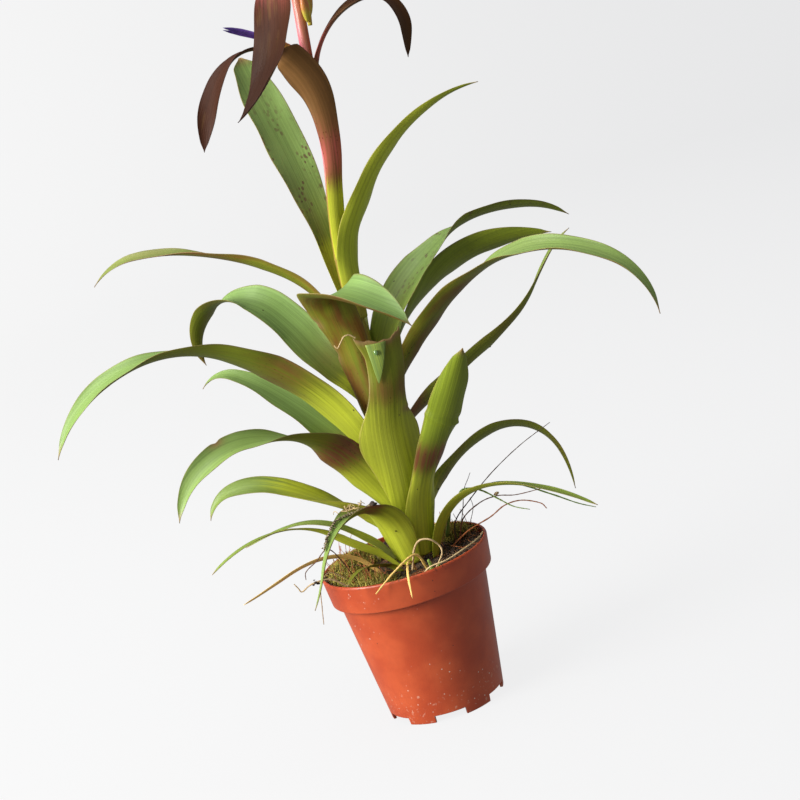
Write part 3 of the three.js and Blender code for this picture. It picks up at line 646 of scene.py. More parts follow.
def blade(row, u, v, lift=0.0):
    """Points on a leaf's middle surface, and its normals, for u along it and v from -1 to 1 across it.

    The middle line starts beside the stem and turns by the row's angles. Across it the blade is an
    arc, round the stem where it hugs it and then a shallow cup, set back there by half its depth. Its
    margins wave a little."""
    _, z0, az, r0, length, bend, swing, twist, width, hug, cup, _ = row
    s = np.linspace(0, 1, LINE_STEPS + 1)
    th, a = np.radians(steps(bend, s)), np.radians(az + steps(swing, s))
    run = turned(np.sin(th), a, np.cos(th))
    line = foot(z0, az, r0) + walked((run[1:] + run[:-1]) / 2 * length / LINE_STEPS)
    p = np.stack([np.interp(u, s, line[:, k]) for k in range(3)], -1)
    th, a, tw = (np.radians(f) for f in (steps(bend, u), az + steps(swing, u), steps(twist, u)))
    t = turned(np.sin(th), a, np.cos(th))
    side = np.stack([-np.sin(a), np.cos(a), 0 * a], -1)
    face = np.cross(t, side)
    across = side * np.cos(tw)[..., None] + face * np.sin(tw)[..., None]
    normal = face * np.cos(tw)[..., None] - side * np.sin(tw)[..., None]
    w = leaf_width(row, u)
    r = np.maximum(np.hypot(p[..., 0] - stem_x(p[..., 2]), p[..., 1]), 2.5)
    free = ease(0, 1, u / hug)
    c = np.maximum((1 - free) / r + free * math.radians(cup) / np.maximum(w, 0.8), 1e-6)
    q = v * w * c / 2
    back = 0 if row[0] == "leaf_cut_front" else 0.5 * ease(0.2, 0.5, u) * (1 - np.cos(w * c / 2)) / c
    point = p + across * (np.sin(q) / c)[..., None] + normal * ((1 - np.cos(q)) / c - back)[..., None]
    out = normal * np.cos(q)[..., None] - across * np.sin(q)[..., None]
    phase = (z0 * 7 + az) % 6.0
    waving = np.sin(length / WAVE * TAU * u + phase + (v > 0) * 1.9)
    wave = 0.35 * free * np.abs(v) ** 3 * np.minimum(w / 14, 1) * waving
    return point + out * (wave + lift)[..., None], out


def leaf_width(row, u):
    """The row's width, drawn in to a fine point over the last twentieth unless the leaf is cut."""
    w = np.maximum(smooth(row[8], u), 0.8) * {"rim_strand": 0.45, "dry_leaf": 0.75}.get(row[0], 1)
    if row[0] == "leaf_cut_front":
        return w
    return w * np.sqrt(np.clip(1.02 - ease(0.95, 1.0, u), 0, 1))


def leaf_piece(row, paint, slot):
    """The blade with its thickness, thin at its margins, as a closed skin with fields for its colours."""
    name, length, thick = row[0], row[4], row[11]
    nu, nv = int(min(max(length * 1.1, 40), 170)), 25 if max(row[8]) > 8 else 13
    u = np.linspace(0, 1, nu)[:, None] * np.ones((1, 2 * nv))
    across = np.sin(np.linspace(-1, 1, nv) * math.pi / 2) * 0.55 + np.linspace(-1, 1, nv) * 0.45
    v = np.concatenate([across, across[::-1]])[None] * np.ones((nu, 1))
    top = np.concatenate([np.ones(nv), np.zeros(nv)])[None] * np.ones((nu, 1))
    half = 0.08 + (thick / 2 - 0.08) * (1 - v**2) * (1 - 0.8 * u**2)
    where, out = blade(row, u, v)
    torn = 0 * u
    for place, side, depth, wide in BITES.get(name, []):
        pull = depth * bell(u, place, wide) * ease(0.55, 1.0, v * side)
        inner, _ = blade(row, u, v * 0.5)
        where = where + (inner - where) * pull[..., None]
        torn = torn + bell(u, place, 2.5 * wide) * ease(0.3, 0.9, v * side)
    if name == "leaf_cut_front":
        edge = ease(0.88, 1.0, u)
        dip = edge * (-3.4 * (1 - np.abs(v) ** 2.4) + 0.3 * np.sin(v * 11.0 + 1) + 0.2 * np.sin(v * 29.0))
        flare = edge * (-2.4 * ease(-0.4, -1.0, v) + 0.5 * ease(0.5, 1.0, v))
        where = where + np.stack([flare, 0 * dip, dip], -1)
    if name == "leaf_cut_right":
        slanted = u + 0.02 * v
        fold = bell(slanted, 0.645, 0.012) - 0.6 * bell(slanted, 0.67, 0.02)
        where = where - out * (0.7 * fold)[..., None]
    skin_points = where + out * (half * np.where(top > 0, 1, -1))[..., None]
    n, m = nu, 2 * nv
    j = np.arange(nv - 1)
    close = np.stack([j, m - 1 - j, m - 2 - j, j + 1], -1)
    shut = (n - 1) * m + np.stack([j, j + 1, m - 2 - j, m - 1 - j], -1)
    lime, band, deep, brown, fresh, spots = TONES.get(name, (0.3, 0.5, 0, 0.2, 0.5, 0))
    margin = 0.6 * ease(0.93, 1.0, np.abs(v)) * ease(0.1, 0.3, u)
    reach = 0.13 if name.startswith("bract") else 0.08
    tone = np.stack([
        1 - ease(lime * 0.75, lime * 1.25 + 0.02, u),
        deep * bell(u, band, reach) * (1 - 0.3 * top),
        np.maximum.reduce([ease(0.955, 1.0, u), margin, np.minimum(torn, 1)]),
        spots * (0.35 + 0.65 * bell(u, 0.5, 0.22)),
    ], -1)
    along = np.stack([u * length, v * leaf_width(row, u) / 2, top], -1)
    kind = np.stack([brown + 0 * u, fresh + 0 * u, (row[1] * 0.37 + row[2] * 0.11) % 50 + 0 * u], -1)
    piece(
        name + "_leaf", skin_points.reshape(-1, 3), [ring_faces(n, m), close, shut], slot, paint, name,
        tone=tone.reshape(-1, 4), along=along.reshape(-1, 3), kind=kind.reshape(-1, 3),
        shade=(0.65 + 0.35 * u).ravel(),
    )


# Torn or nibbled places on the margins: place along, side, depth and length as a share.
BITES = {
    "leaf_front_folded": [(0.33, -1, 0.45, 0.016), (0.45, -1, 0.2, 0.01)],
    "leaf_left_lower": [(0.74, -1, 0.25, 0.01)],
    "leaf_cut_front": [(0.62, 1, 0.12, 0.008)],
}

for row in LEAVES:
    name = row[0]
    if name.startswith("bract"):
        leaf_piece(row, RED, "bract")
    elif name in ("dry_leaf", "rim_strand"):
        leaf_piece(row, DRY, "dry")
    else:
        leaf_piece(row, GREEN, "leaf")


# Pot and soil

# The skirt's outer radius at the floor, the thickness of the wall, half the width and the height of a
# notch, and the heights of the base plate, the step below the rim, the rim's top and the soil
SKIRT_R, WALL, NOTCH, NOTCH_Z = 24.1, 1.2, 6.5, 3
PLATE_Z, STEP_Z, RIM_Z, SOIL_Z = 3.4, 53.1, 65, 60.4
# Points of one crumb, and steps along a thread, which has four sides
CRUMB_POINTS = 18
THREAD_STEPS = 9


def softened(profile, reach):
    """A profile whose corners are rounded: each corner becomes four points on a small curve."""
    p = np.array(profile, float)
    inner = p[1:-1]
    before, after = p[:-2] - inner, p[2:] - inner
    la, lb = np.linalg.norm(before, axis=1, keepdims=True), np.linalg.norm(after, axis=1, keepdims=True)
    a = inner + before / la * np.minimum(reach, la * 0.35)
    b = inner + after / lb * np.minimum(reach, lb * 0.35)
    t = np.array([0, 0.33, 0.67, 1])[None, :, None]
    curve = (1 - t) ** 2 * a[:, None] + 2 * t * (1 - t) * inner[:, None] + t**2 * b[:, None]
    return np.concatenate([p[:1], curve.reshape(-1, 2), p[-1:]])


def pot_shape():
    """The wall's profile turned about the vertical. Six notches lift the skirt's lower edge by 3 mm."""
    profile = softened([
        [0.01, PLATE_Z], [21.9, PLATE_Z], [SKIRT_R - WALL, 3.2], [SKIRT_R - WALL, 0], [SKIRT_R, 0],
        [24.55, PLATE_Z], [31, STEP_Z], [33.5, STEP_Z], [33.8, STEP_Z + 0.3], [35, RIM_Z - 0.8],
        [34.8, RIM_Z - 0.2], [34.4, RIM_Z], [34.1, RIM_Z], [33.8, RIM_Z - 0.3], [32.5, 54.6],
        [31 - WALL, 54.4], [23.3, PLATE_Z + WALL], [0.01, PLATE_Z + WALL],
    ], 0.25)
    rows = [profile[0]]
    for a, b in zip(profile[:-1], profile[1:]):
        cuts = max(1, int(np.hypot(*(b - a)) / 5))
        rows += [a + (b - a) * k / cuts for k in range(1, cuts + 1)]
    r, z = np.array(rows).T
    edge = math.degrees(math.asin(NOTCH / 24))
    fine = [90 + 60 * k + s * (edge + d) for k in range(6) for s in (-1, 1) for d in (-0.25, 0, 0.12, 0.35)]
    phi = np.radians(np.unique(np.round(np.mod(np.concatenate([np.arange(0, 360, 1.875), fine]), 360), 3)))
    off = np.abs(np.mod(np.degrees(phi) - 90 + 30, 60) - 30)
    lift = NOTCH_Z * (1 - ease(edge, edge + 0.12, off))
    zz = np.maximum(z[:, None], np.where((r[:, None] > 22.5) & (z[:, None] < 3.0), lift[None], -1))
    slope = np.where((z[:, None] < 3.3) & (r[:, None] > 23.6), (zz - z[:, None]) * 0.13, 0)
    rr = r[:, None] + slope
    return skin(turned(rr, phi, zz))


def ground(r, phi):
    """The height of the soil's surface: uneven, a little higher round the stem and banked at the back."""
    x, y = r * np.cos(phi), r * np.sin(phi)
    mound = 1.5 * bell(np.hypot(x - 5, y), 0, 11)
    bank = 2.9 * ease(19, 30, r) * ease(-0.9, 0.5, np.sin(phi))
    return SOIL_Z + mound + 0.75 * ripple(x, y, 3, 14.0) * ease(34, 26, r) + bank


def soil_shape():
    """Circles out from the middle over the uneven surface, then down inside the wall to the pot's floor."""
    phi = angles(144)
    r = np.concatenate([[0.05], np.linspace(0.6, 32.6, 54)])
    top = turned(r[:, None], phi, ground(r[:, None], phi[None]))
    side = np.array([[32.2, 55.0], [29.5, 54.9], [27.0, 35], [22.95, 4.9], [0.05, 4.9]])
    return skin(np.concatenate([top, turned(side[:, :1], phi, side[:, 1:])]))


def on_soil(rng, count, spread=32.3):
    """Random places on the soil, even over its surface."""
    r, phi = spread * np.sqrt(rng.uniform(0, 1, count)), rng.uniform(0, TAU, count)
    return r, phi, turned(r, phi, ground(r, phi))


def crumb_shape(rng, places, size):
    """Small lumps: an octahedron with each edge halved, pushed in and out at random, at each place."""
    v = np.array([[1, 0, 0], [-1, 0, 0], [0, 1, 0], [0, -1, 0], [0, 0, 1], [0, 0, -1]], float)
    f = np.array([[0, 2, 4], [2, 1, 4], [1, 3, 4], [3, 0, 4], [2, 0, 5], [1, 2, 5], [3, 1, 5], [0, 3, 5]])
    edges = np.unique(np.sort(np.concatenate([f[:, [0, 1]], f[:, [1, 2]], f[:, [2, 0]]]), 1), axis=0)
    number = {tuple(e): 6 + k for k, e in enumerate(edges.tolist())}
    v = np.concatenate([v, unit(v[edges].mean(1))])
    faces = []
    for a, b, c in f.tolist():
        x, y, z = (number[tuple(sorted(ends))] for ends in ((a, b), (b, c), (c, a)))
        faces += [[a, x, z], [x, b, y], [z, y, c], [x, y, z]]
    faces = np.array(faces)
    k = len(places)
    shape = v[None] * rng.uniform(0.7, 1.25, (k, len(v), 1)) * rng.uniform(0.55, 1.2, (k, 1, 3))
    a = rng.uniform(0, TAU, k)[:, None]
    x, y, z = np.moveaxis(shape, -1, 0)
    lump = np.stack([x * np.cos(a) - y * np.sin(a), x * np.sin(a) + y * np.cos(a), z * 0.75], -1)
    points = places[:, None] + lump * size[:, None, None]
    return points.reshape(-1, 3), (faces[None] + np.arange(k)[:, None, None] * len(v)).reshape(-1, 3)


def mossy(phi, r):
    """How mossy a place is, from 0 to 1: the left side and a strip at the back right."""
    deg = np.degrees(phi) % 360
    left = ease(112, 140, deg) * ease(262, 232, deg) * ease(14, 20, r)
    right = ease(8, 22, deg) * ease(78, 50, deg) * ease(19, 24, r)
    return np.maximum(left, 0.8 * right)


def tuft_shape(rng, places, height):
    """Moss leaves: each a thin curved spike with three sides, fanned out round its place."""
    k = len(places)
    t = np.linspace(0, 1, 4)
    lean, turn = rng.uniform(0.1, 1.1, k), rng.uniform(0, TAU, k)
    out = (lean[:, None] * t[None] ** 1.5) * height[:, None]
    up = np.cos(lean)[:, None] * t[None] * height[:, None]
    path = places[:, None] + turned(out, turn[:, None], up)
    radius = np.array([0.16, 0.26, 0.18, 0.03])[None] * rng.uniform(0.7, 1.3, (k, 1))
    points, faces = wires(path, radius, 3)
    return points, faces, np.repeat(rng.uniform(0, 1, k), 12) * 0.6 + np.tile(np.repeat(t, 3), k) * 0.4


def loose_threads(rng, places, length, flat):
    """Fine loose threads: each runs on from its place, curving by its own amount, and lifts a little."""
    k = len(places)
    t = np.linspace(0, 1, THREAD_STEPS)
    heading = rng.uniform(0, TAU, (k, 1)) + rng.normal(0, 1.6, (k, 1)) * t[None]
    heading = heading + 0.5 * np.sin(t[None] * 7 + rng.uniform(0, 6, (k, 1)))
    step = length[:, None, None] / (THREAD_STEPS - 1) * turned(1, heading, 0)
    path = places[:, None] + np.cumsum(step, 1) - step[:, :1]
    rise = rng.uniform(0.0, 1.0, (k, 1)) * np.sin(math.pi * t)[None] * length[:, None] * flat
    path[..., 2] += rise + 0.2
    r = np.hypot(path[..., 0], path[..., 1])
    inside = np.minimum(1, 32.0 / np.maximum(r, 1e-6))
    path[..., :2] *= inside[..., None]
    return path


def lay_crumbs(count):
    """Crumbs of peat all over the soil, most of them small and dark."""
    _, _, at = on_soil(rng, count)
    points, faces = crumb_shape(rng, at, 0.3 + 0.9 * rng.uniform(0, 1, count) ** 3)
    shade = np.repeat(rng.uniform(0, 1, count) ** 3, CRUMB_POINTS)
    piece("soil_crumbs", points, faces, "soil", PEAT, shade=shade)


def lay_moss(count):
    """Moss leaves where it is mossy, raised by up to 2.9 mm where the moss is thick."""
    r, phi, at = on_soil(rng, count, 32.0)
    keep = rng.uniform(0, 1, count) < mossy(phi, r)
    lump = mossy(phi, r)[keep] * np.sin(math.pi * np.clip((r[keep] - 16) / 16, 0, 1)) ** 0.5
    at = at[keep] + np.array([0, 0, 2.6]) * (lump * rng.uniform(0.3, 1.1, keep.sum()))[:, None]
    points, faces, shade = tuft_shape(rng, at, rng.uniform(1.2, 3.4, len(at)))
    piece("moss_leaves", points, faces, "moss", MOSS, shade=shade)


def moss_mound():
    """A low cushion: rings along its length, each an arch over its width, closed flat below."""
    t = np.linspace(0, 1, 60)[:, None]
    f = np.linspace(0, 1, 20)[None]
    a = np.radians(128 + 118 * t) + 0 * f
    r = 17.3 + 14.2 * f + 0.8 * np.sin(5 * a)
    swell = (0.3 + 3.2 * np.sin(math.pi * t) ** 0.6) * np.sin(math.pi * f) ** 0.5
    r = np.minimum(r, 31.6)
    lumps = 0.25 * ripple(r * np.cos(a), r * np.sin(a), 9, 5.0) * np.sin(math.pi * f)
    top = turned(r, a, ground(r, a) + swell + lumps)
    under = turned(r, a, ground(r, a) - 0.5)
    return skin(np.concatenate([top, under[:, ::-1]], 1))


def lay_fibres(count):
    """Root threads that lie on the soil, thinner towards their ends."""
    _, _, at = on_soil(rng, count)
    paths = loose_threads(rng, at, rng.uniform(5, 17, count), 0.18)
    radius = np.array([0.16, 0.15, 0.14, 0.14, 0.13, 0.12, 0.1, 0.08, 0.05])
    points, faces = wires(paths, radius * np.ones((count, 1)))
    shade = np.repeat(rng.uniform(0, 1, count), THREAD_STEPS * 4)
    piece("soil_fibres", points, faces, "soil", FIBRE, shade=shade)


def lay_hairs(count):
    """Thin stalks that stand up from the moss, each bowed to one side by the square of its height."""
    r, phi, at = on_soil(rng, count, 31.5)
    at = at[rng.uniform(0, 1, count) < 0.3 * mossy(phi, r)]
    k = len(at)
    t = np.linspace(0, 1, THREAD_STEPS)[None]
    lean = rng.uniform(0, TAU, (k, 1))
    tall = rng.uniform(4, 12, (k, 1))
    bow = rng.uniform(0.1, 0.5, (k, 1)) * t**2 * tall
    points, faces = wires(at[:, None] + turned(bow, lean, t * tall), np.full((k, THREAD_STEPS), 0.11))
    shade = np.repeat(0.6 + 0.4 * rng.uniform(0, 1, k), THREAD_STEPS * 4)
    piece("moss_hairs", points, faces, "moss", FIBRE, shade=shade)


rng = np.random.default_rng(11)
piece("pot_wall", *pot_shape(), "pot", POT, "pot")
points, faces = soil_shape()
piece("soil_body", points, faces, "soil", PEAT, "soil", shade=np.zeros(len(points)))
lay_crumbs(2600)
lay_moss(15000)
points, faces = moss_mound()
shade = 0.25 + 0.25 * ripple(points[:, 0], points[:, 1], 5, 6.0)
piece("moss_cushion", points, faces, "moss", MOSS, "moss", shade=shade)
lay_fibres(170)
lay_hairs(900)


# Stalk, spikes and flowers


def stalk_shape():
    """Circles along the stem's line, slimmer upwards, with a slight swelling at each bract."""
    z = np.linspace(31, 346, 240)
    path = np.stack([stem_x(z), 0 * z, z], 1)
    path[:, 0] = np.convolve(np.pad(path[:, 0], 6, mode="edge"), np.ones(13) / 13, "valid")
    path[:, 0] += 0.9 * bell(z, 222, 22)
    knots = sum(bell(z, row[1], 1.6) for row in LEAVES if row[0].startswith("bract"))
    radius = steps([3.2, 3.2, 3.1, 2.6, 2.3, 2.1, 1.8], (z - 31) / 315)
    return skin(tube(path, radius + 0.22 * knots, 28))


piece("stalk", *stalk_shape(), "stem", STALK, "stem")

# Spikes: name, height, azimuth, distance from the stem line, length, angles from the vertical and
# half width
SPIKES = [
    ("spike_left", 267, 211, 3.9, 16, [36, 50, 64], 2.6),
    ("spike_middle", 277, 325, 4.0, 30, [8, 12, 22], 3.2),
    ("spike_upper_back", 317, 85, 3.9, 30, [16, 28, 40], 3.2),
    ("spike_upper_left", 327, 178, 3.6, 28, [16, 26, 38], 3.0),
    ("spike_upper_right", 337.5, 328, 3.6, 24, [12, 24, 36], 2.8),
    ("spike_top", 346.8, 0, 0.0, 26.2, [4, 4, 4], 3.2),
]
# Points along a spike's line, rings along each of its scales, and their sides
SPIKE_POINTS, SCALE_RINGS, SIDES = 41, 14, 12


def spike_line(z0, az, r0, length, bend, count):
    """The middle line of a spike, which turns away from the vertical by its angles."""
    s = (np.arange(count - 1) + 0.5) / (count - 1)
    th = np.radians(steps(bend, s))
    moves = turned(np.sin(th), math.radians(az), np.cos(th)) * length / (count - 1)
    return foot(z0, az, r0) + walked(moves)


def scale_shape(root, along, side, face, length, half):
    """One floral bract: a boat that widens to its middle, comes to a point and leans out to its side."""
    t = np.linspace(0, 1, SCALE_RINGS)
    lean = half * (0.25 + 0.25 * np.sin(t * 2.6))
    middle = root + along * (t * length)[:, None] + side * lean[:, None]
    wide = half * 0.62 * np.sin(math.pi * np.clip(0.08 + 0.92 * t, 0, 1)) ** 0.6 + 0.05
    return middle[:, None] + wide[:, None, None] * circle(angles(SIDES), side, 0.75 * face)


def spike_shape(z0, az, r0, length, bend, half):
    """Scales set in turn on either side of the spike's line, each covering the foot of the next."""
    line = spike_line(z0, az, r0, length, bend, SPIKE_POINTS)
    last = SPIKE_POINTS - 1
    a = math.radians(az)
    side = np.array([-math.sin(a), math.cos(a), 0])
    skins, shade = [], []
    for k in range(9):
        at = int(2 + 3.2 * k)
        along = unit(line[at + 3] - line[at])
        face = unit(np.cross(along, side))
        reach = min(length * 0.42, (last - at) / last * length)
        turn = side * (1 if k % 2 else -1)
        skins.append(skin(scale_shape(line[at], along, turn, face, reach, half * (1 - 0.03 * k))))
        shade.append(np.concatenate([np.repeat(np.linspace(0, 1, SCALE_RINGS), SIDES), [0, 1]]))
    core = tube(line, half * 0.42 * np.sin(math.pi * np.linspace(0.12, 0.98, SPIKE_POINTS)) ** 0.5, SIDES)
    skins.append(skin(core))
    shade.append(np.full(len(skins[-1][0]), 0.2))
    points, faces = joined(skins)
    return points, faces, np.concatenate(shade)


def flower_shape(spike, length, drop):
    """A slender tube that widens to its mouth, where three petals overlap and turn out a little."""
    _, z0, az, r0, long, bend, _ = spike
    line = spike_line(z0, az, r0, long, bend, 11)
    way = unit(line[10] - line[9])
    u = np.linspace(0, 1, 30)
    path = line[10] + way * (0.4 + length * u)[:, None] - np.array([0, 0, 0.25 * drop]) * (u**2)[:, None]
    a = angles(24)
    radius = np.interp(u, [0, 0.2, 0.6, 0.85, 1], [0.9, 1.3, 1.4, 1.15, 0.5])
    t, s, n = frames(path)
    petals = 1 + 0.1 * np.cos(3 * a)[None] * u[:, None] ** 2
    rings = path[:, None] + (radius[:, None] * petals)[..., None] * circle(a, s, n)
    lobes = 1.5 * np.cos(3 * a) * ease(0.75, 1.0, u)[:, None]
    rings = rings + lobes[..., None] * t[:, None]
    points, faces = skin(rings)
    points[-1] -= way * 2.5
    return points, faces, np.concatenate([np.repeat(u, len(a)), [0, 1]])


for name, *values in SPIKES:
    points, faces, shade = spike_shape(*values)
    piece(name + "_scales", points, faces, "spike", SCALES, name, shade=shade)
for name, carrier, length, drop in (
    ("flower_left", 0, 16, 3), ("flower_upper_left", 3, 14, 6), ("flower_upper_right", 4, 13, 10)
):
    points, faces, shade = flower_shape(SPIKES[carrier], length, drop)
    piece(name + "_petals", points, faces, "flower", PETAL, name, shade=shade)


# Single strands: name, slot, material, radius at both ends, shade and points. Most of the points were
# picked on the photograph and worked out in millimetres at a chosen depth.
STRANDS = [
    ("fibre_straight", "soil", FIBRE, 0.3, 0.14, 0.15,
     [[22, 2, 62], [24, 2, 71], [32, 2, 78], [44, 2, 86.5], [58, 2, 94], [72, 0, 100]]),
    ("fibre_curved", "soil", FIBRE, 0.3, 0.15, 0.4,
     [[23, 0, 62], [27, -2, 72], [35.5, -3, 77], [43, -4, 78], [50, -5, 76.5], [58, -5, 76],
      [64.5, -5, 76]]),
    ("fibre_orange", "soil", FIBRE, 0.34, 0.2, 0.95,
     [[20, 0, 62], [28, -4, 67.5], [38, -4, 70.3], [45, -4, 73.3], [52, -4, 73.3], [59, -4, 70],
      [61, -4, 67]]),
    ("fibre_upright", "soil", FIBRE, 0.22, 0.1, 0.2,
     [[24, 2, 62], [25.5, 2, 68], [28.3, 2, 75], [31, 2, 82.7], [34, 2, 87], [35.4, 2, 89]]),
    ("fibre_hook", "soil", FIBRE, 0.18, 0.1, 0.2,
     [[25, -1, 62], [29, -2, 69], [32.4, -2, 75.5], [32.4, -2, 80]]),
    ("strand_green", "leaf", SPROUT, 0.5, 0.16, 0.7,
     [[27, -10, 83], [30.6, -9.5, 86], [37, -9, 83.6], [43, -9, 78], [48, -9, 73.2], [54, -9, 70]]),
    ("strand_long_green", "leaf", SPROUT, 0.75, 0.16, 0.25,
     [[19, 2, 66], [24.8, -1, 80], [31.5, -2, 82.7], [37.6, -2, 83.4], [49.7, -2, 81.4], [64, -2, 72],
      [73.6, -2, 65], [80.6, -2, 61]]),
    ("root_loop", "soil", ROOT, 0.45, 0.3, 0.8,
     [[2, -20, 63], [5, -24, 72], [8, -26, 75.5], [12, -27, 75], [15, -25.5, 71], [15, -27, 68],
      [12, -30, 65], [9, -31, 61.5]]),
    ("root_rim", "soil", ROOT, 0.35, 0.25, 0.9,
     [[4, -31, 62], [9, -33, 66], [16, -32, 66.5], [25, -26, 67.5], [31, -16, 67], [33.5, -4, 65.4],
      [32, 4, 62]]),
    ("root_hanging", "soil", ROOT, 0.25, 0.16, 0.45,
     [[-22, -14, 63], [-30, -14, 70], [-35, -16, 66], [-37, -17, 58], [-38.4, -17, 51]]),
    ("root_left_curl", "soil", FIBRE, 0.26, 0.16, 0.3,
     [[-20, -16, 63], [-26.6, -22, 81], [-33.6, -22, 78], [-38.4, -22, 75.3], [-39.4, -22, 72.2]]),
    ("root_left_bow", "soil", ROOT, 0.45, 0.2, 0.7,
     [[-24, -18, 63], [-30, -20, 69], [-36, -22, 70], [-39, -22, 69.5], [-42.3, -22, 68],
      [-43.4, -22, 70], [-44.4, -22, 72]]),
    ("strand_yellow", "soil", DRY, 0.6, 0.3, 0.9,
     [[8, -24, 62], [5, -28, 71], [-4, -34, 69], [-14, -37, 63]]),
    ("sprout_left", "leaf", SPROUT, 1.0, 0.5, 0.8,
     [[9, -25, 61], [9.6, -26.5, 64], [9.2, -28, 67.5]]),
    ("sprout_right", "leaf", SPROUT, 0.9, 0.5, 0.8,
     [[10.5, -26, 61], [12.0, -27.4, 63.5], [13.6, -28.4, 66]]),
    ("cut_thread", "leaf", ROOT, 0.3, 0.22, 0.95,
     [[7, -21.9, 159], [5, -22.3, 160.8], [2.8, -22.6, 160.8], [0.8, -22.6, 158.8], [-0.8, -22.5, 157.2],
      [-1.8, -22.4, 158.6]]),
]
for name, slot, paint, thick, thin, shade, points in STRANDS:
    path = spline(points, 60)
    k = np.arange(len(path))
    rough = 1 + 0.12 * np.sin(k * 1.9) + 0.08 * np.sin(k * 0.7 + 2)
    points, faces = skin(tube(path, np.linspace(thick, thin, len(path)) * rough, 8))
    piece(name, points, faces, slot, paint, shade=np.full(len(points), shade))


def on_leaf(name, u, v, lift):
    """Points at a height over a leaf's middle surface: on its upper side, or its outer one if negative."""
    row = next(r for r in LEAVES if r[0] == name)
    return blade(row, np.asarray(u, float), np.asarray(v, float), np.asarray(lift, float))[0]


def twig_shape():
    """A lumpy dead twig that lies along the little front leaf: a tube whose radius swells and shrinks."""
    t = np.linspace(0, 1, 90)
    path = on_leaf("leaf_front_pup", 0.44 + 0.3 * t, smooth([0.9, 0.0, -0.7, -0.95, -1.0], t), 1.1 + 0 * t)
    knots = 0.22 * np.sin(t * 61) + 0.16 * np.sin(t * 23 + 1) + 0.1 * np.sin(t * 140)
    return path, skin(tube(path, 0.55 * (1 - 0.3 * t) * (1 + knots), 12))


def flap_shape():
    """The torn strip of the cut leaf: a thin triangle that hangs from the cut edge and curls out."""
    t, f = np.linspace(0, 1, 24)[:, None], np.linspace(-1, 1, 11)[None]
    half = 0.46 * (1 - t) ** 0.85 + 0.015
    u, v = 0.955 - 0.185 * t + 0 * f, -0.34 - 0.16 * t + half * f
    low = -0.85 - 0.45 * np.sin(math.pi * t) ** 2 - 0.5 * t + 0.35 * f**2 * (1 - t)
    inner, outer = (on_leaf("leaf_cut_front", u, v, low + d) for d in (0.12, -0.12))
    return skin(np.concatenate([inner, outer[:, ::-1]], 1))


def lay_twig():
    """The twig, and on it a knob of five lumps, crumbs of moss and papery bits."""
    twig, (points, faces) = twig_shape()
    piece("twig", points, faces, "dry", TWIG, shade=0.5 + 0.5 * np.sin(np.arange(len(points)) * 0.37))
    knob = unit(rng.normal(0, 1, (5, 3))) * 0.5 + twig[0] + np.array([0.4, -0.3, 0.4])
    points, faces = crumb_shape(rng, knob, np.array([1.5, 1.3, 1.2, 1.1, 1.2]))
    piece("twig_knob", points, faces, "dry", FIBRE, shade=np.zeros(len(points)))
    at = twig[rng.integers(12, 90, 46)] + rng.normal(0, 0.45, (46, 3))
    points, faces = crumb_shape(rng, at, rng.uniform(0.25, 0.6, 46))
    shade = np.repeat(rng.uniform(0, 1.2, 46), CRUMB_POINTS)
    piece("twig_moss", points, faces, "dry", TWIG, shade=shade)
    start = twig[rng.integers(6, 34, 16)] + np.array([-1.5, 0.5, 1.4])
    paths = loose_threads(rng, start, rng.uniform(2.0, 6.0, 16), 0.5)
    paths = start[:, None] + (paths - paths[:, :1])
    points, faces = wires(paths, 0.2 * np.linspace(1, 0.5, THREAD_STEPS) * np.ones((16, 1)))
    piece("papery_bits", points, faces, "dry", ROOT, shade=np.full(len(points), 1.0))


def lay_bits():
    """Specks on four leaves, crumbs along the rim, a seed on a fibre and a clump on a root."""
    specks = np.stack([
        on_leaf("leaf_low_right", 0.2, -0.2, -0.5), on_leaf("leaf_right_twisted", 0.5, 0.95, 0.2),
        on_leaf("leaf_cut_front", 0.6, 0.35, -0.6), on_leaf("leaf_front_pup", 0.2, 0.2, -0.6),
    ])
    points, faces = crumb_shape(rng, specks, np.array([0.55, 0.8, 0.35, 0.35]))
    piece("specks", points, faces, "dry", FIBRE, shade=np.zeros(len(points)))
    phi = rng.uniform(-math.pi, math.pi, 160)
    at = turned(33.4, phi, RIM_Z - 0.4) + rng.normal(0, 0.25, (160, 3))
    points, faces = crumb_shape(rng, at, rng.uniform(0.15, 0.5, 160))
    shade = np.repeat(rng.uniform(0, 0.6, 160), CRUMB_POINTS)
    piece("rim_crumbs", points, faces, "soil", PEAT, shade=shade)
    points, faces = crumb_shape(rng, np.array([[43.0, -3.9, 79.0]]), np.array([1.5]))
    piece("seed_on_fibre", points, faces, "dry", ROOT, shade=np.full(len(points), 0.75))
    at = np.array([[-36.0, -22, 70], [-37.2, -22, 69.6], [-35.2, -21.6, 69.2], [-36.4, -21.4, 71]])
    points, faces = crumb_shape(rng, at, np.array([1.0, 0.8, 0.7, 0.6]))
    piece("root_clump", points, faces, "dry", FIBRE, shade=np.full(len(points), 0.05))


lay_twig()
lay_bits()
points, faces = flap_shape()
blank = np.zeros(len(points))
piece(
    "cut_flap", points, faces, "leaf", GREEN, tone=np.stack([blank + 0.3, blank, blank, blank], 1),
    along=np.stack([blank + 80, points[:, 0], blank + 1], 1),
    kind=np.stack([blank, blank + 0.9, blank + 7], 1),
)


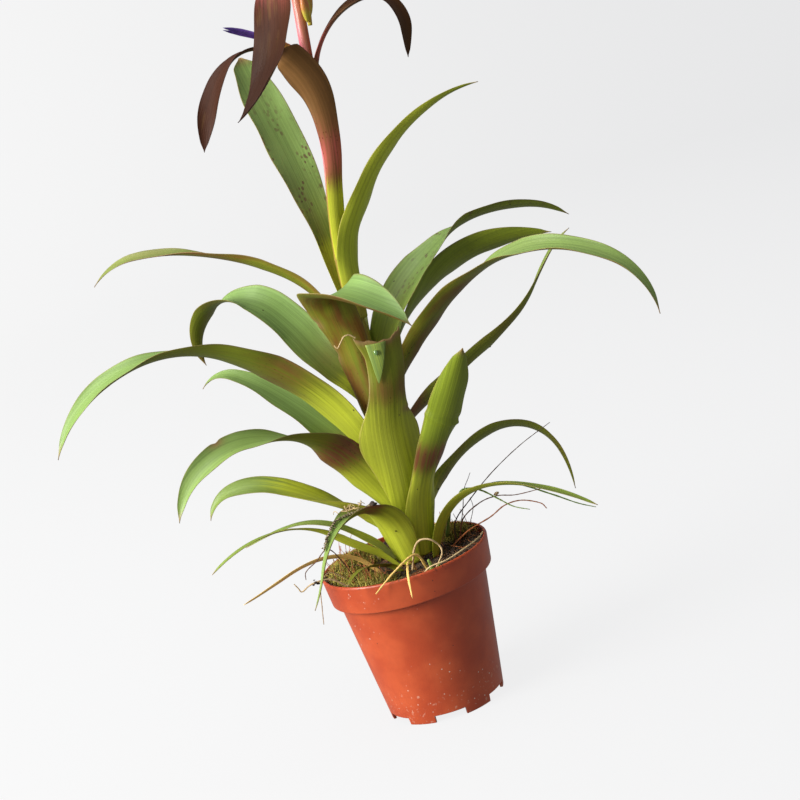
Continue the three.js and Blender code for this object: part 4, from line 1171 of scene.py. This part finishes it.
def drop_shape():
    """A water drop: a flattened ball that rests on the flap."""
    a, b = np.linspace(0.02, math.pi - 0.02, 24)[:, None], angles(28)
    ball = turned(np.sin(a), b, np.cos(a))[..., [0, 2, 1]] * [0.85, 0.5, 1.05]
    return skin(ball + on_leaf("leaf_cut_front", 0.915, -0.42, -1.75))


DROP = Paint("water", Roughness=0.04, Coat_Weight=1.0, Coat_Roughness=0.03)
DROP.set("Base Color", rgb(110, 146, 84))
piece("water_drop", *drop_shape(), "leaf", DROP.material)


def stage_bowl():
    """A floor that turns up into a wall far out on every side, so no edge shows. It is painted light:
    nearly black, it glows white by itself and lights nothing else, and its glow is dimmer towards the right
    as painted shade.
    """
    bend = np.linspace(0.1, 1, 12) * math.pi / 2
    r = np.concatenate([[0.001], np.linspace(0.1, 2.2, 12), 2.2 + 0.6 * np.sin(bend), [2.8]])
    z = np.concatenate([np.zeros(13), 0.6 - 0.6 * np.cos(bend), [1.9]])
    points = turned(r[:, None], angles(96), z[:, None])
    quads = ring_faces(len(r), 96)[:, [0, 3, 2, 1]]
    # Painted light: the floor's brightness is its own glow, not lamplight falling on it.
    p = Paint("floor_glowing", Roughness=1.0, Emission_Strength=0.91, Specular_IOR_Level=0.0)
    p.set("Base Color", (0.05, 0.05, 0.05, 1))
    _, (x, _, _) = p.place()
    # Painted shade: the glow fades from white at the left to grey at the right.
    p.set("Emission Color", p.mix((x + 1200.0).rise(0.0, 2400.0), (1, 1, 1, 1), (0.84, 0.842, 0.85, 1)))
    floor = added("floor", surface("floor", points.reshape(-1, 3), quads.tolist(), p.material))
    floor.visible_diffuse = floor.visible_glossy = False


def area_light(name, place, target, size, power, colour):
    """A soft square light that shines from place to target, hidden from the camera."""
    data = bpy.data.lights.new(name, "AREA")
    data.shape, data.size, data.energy, data.color = "SQUARE", size, power, colour
    way = Vector(target) - Vector(place)
    light = added(name, data)
    light.matrix_world = Matrix.Translation(place) @ way.to_track_quat("-Z", "Y").to_matrix().to_4x4()
    light.visible_camera = False


stage_bowl()
area_light("key_left", (-1.25, -0.6, 0.75), (0, 0, 0.15), 0.9, 44, (1.0, 0.985, 0.96))
area_light("top_soft", (-0.35, -0.2, 1.6), (0, 0, 0.15), 1.2, 20, (1, 1, 1))
world = bpy.data.worlds.new("studio")
bpy.context.scene.world = world
world.use_nodes = True
world.node_tree.nodes["Background"].inputs[0].default_value = (1, 1, 1, 1)
world.node_tree.nodes["Background"].inputs[1].default_value = 0.28
bpy.context.scene.view_settings.view_transform = "Standard"
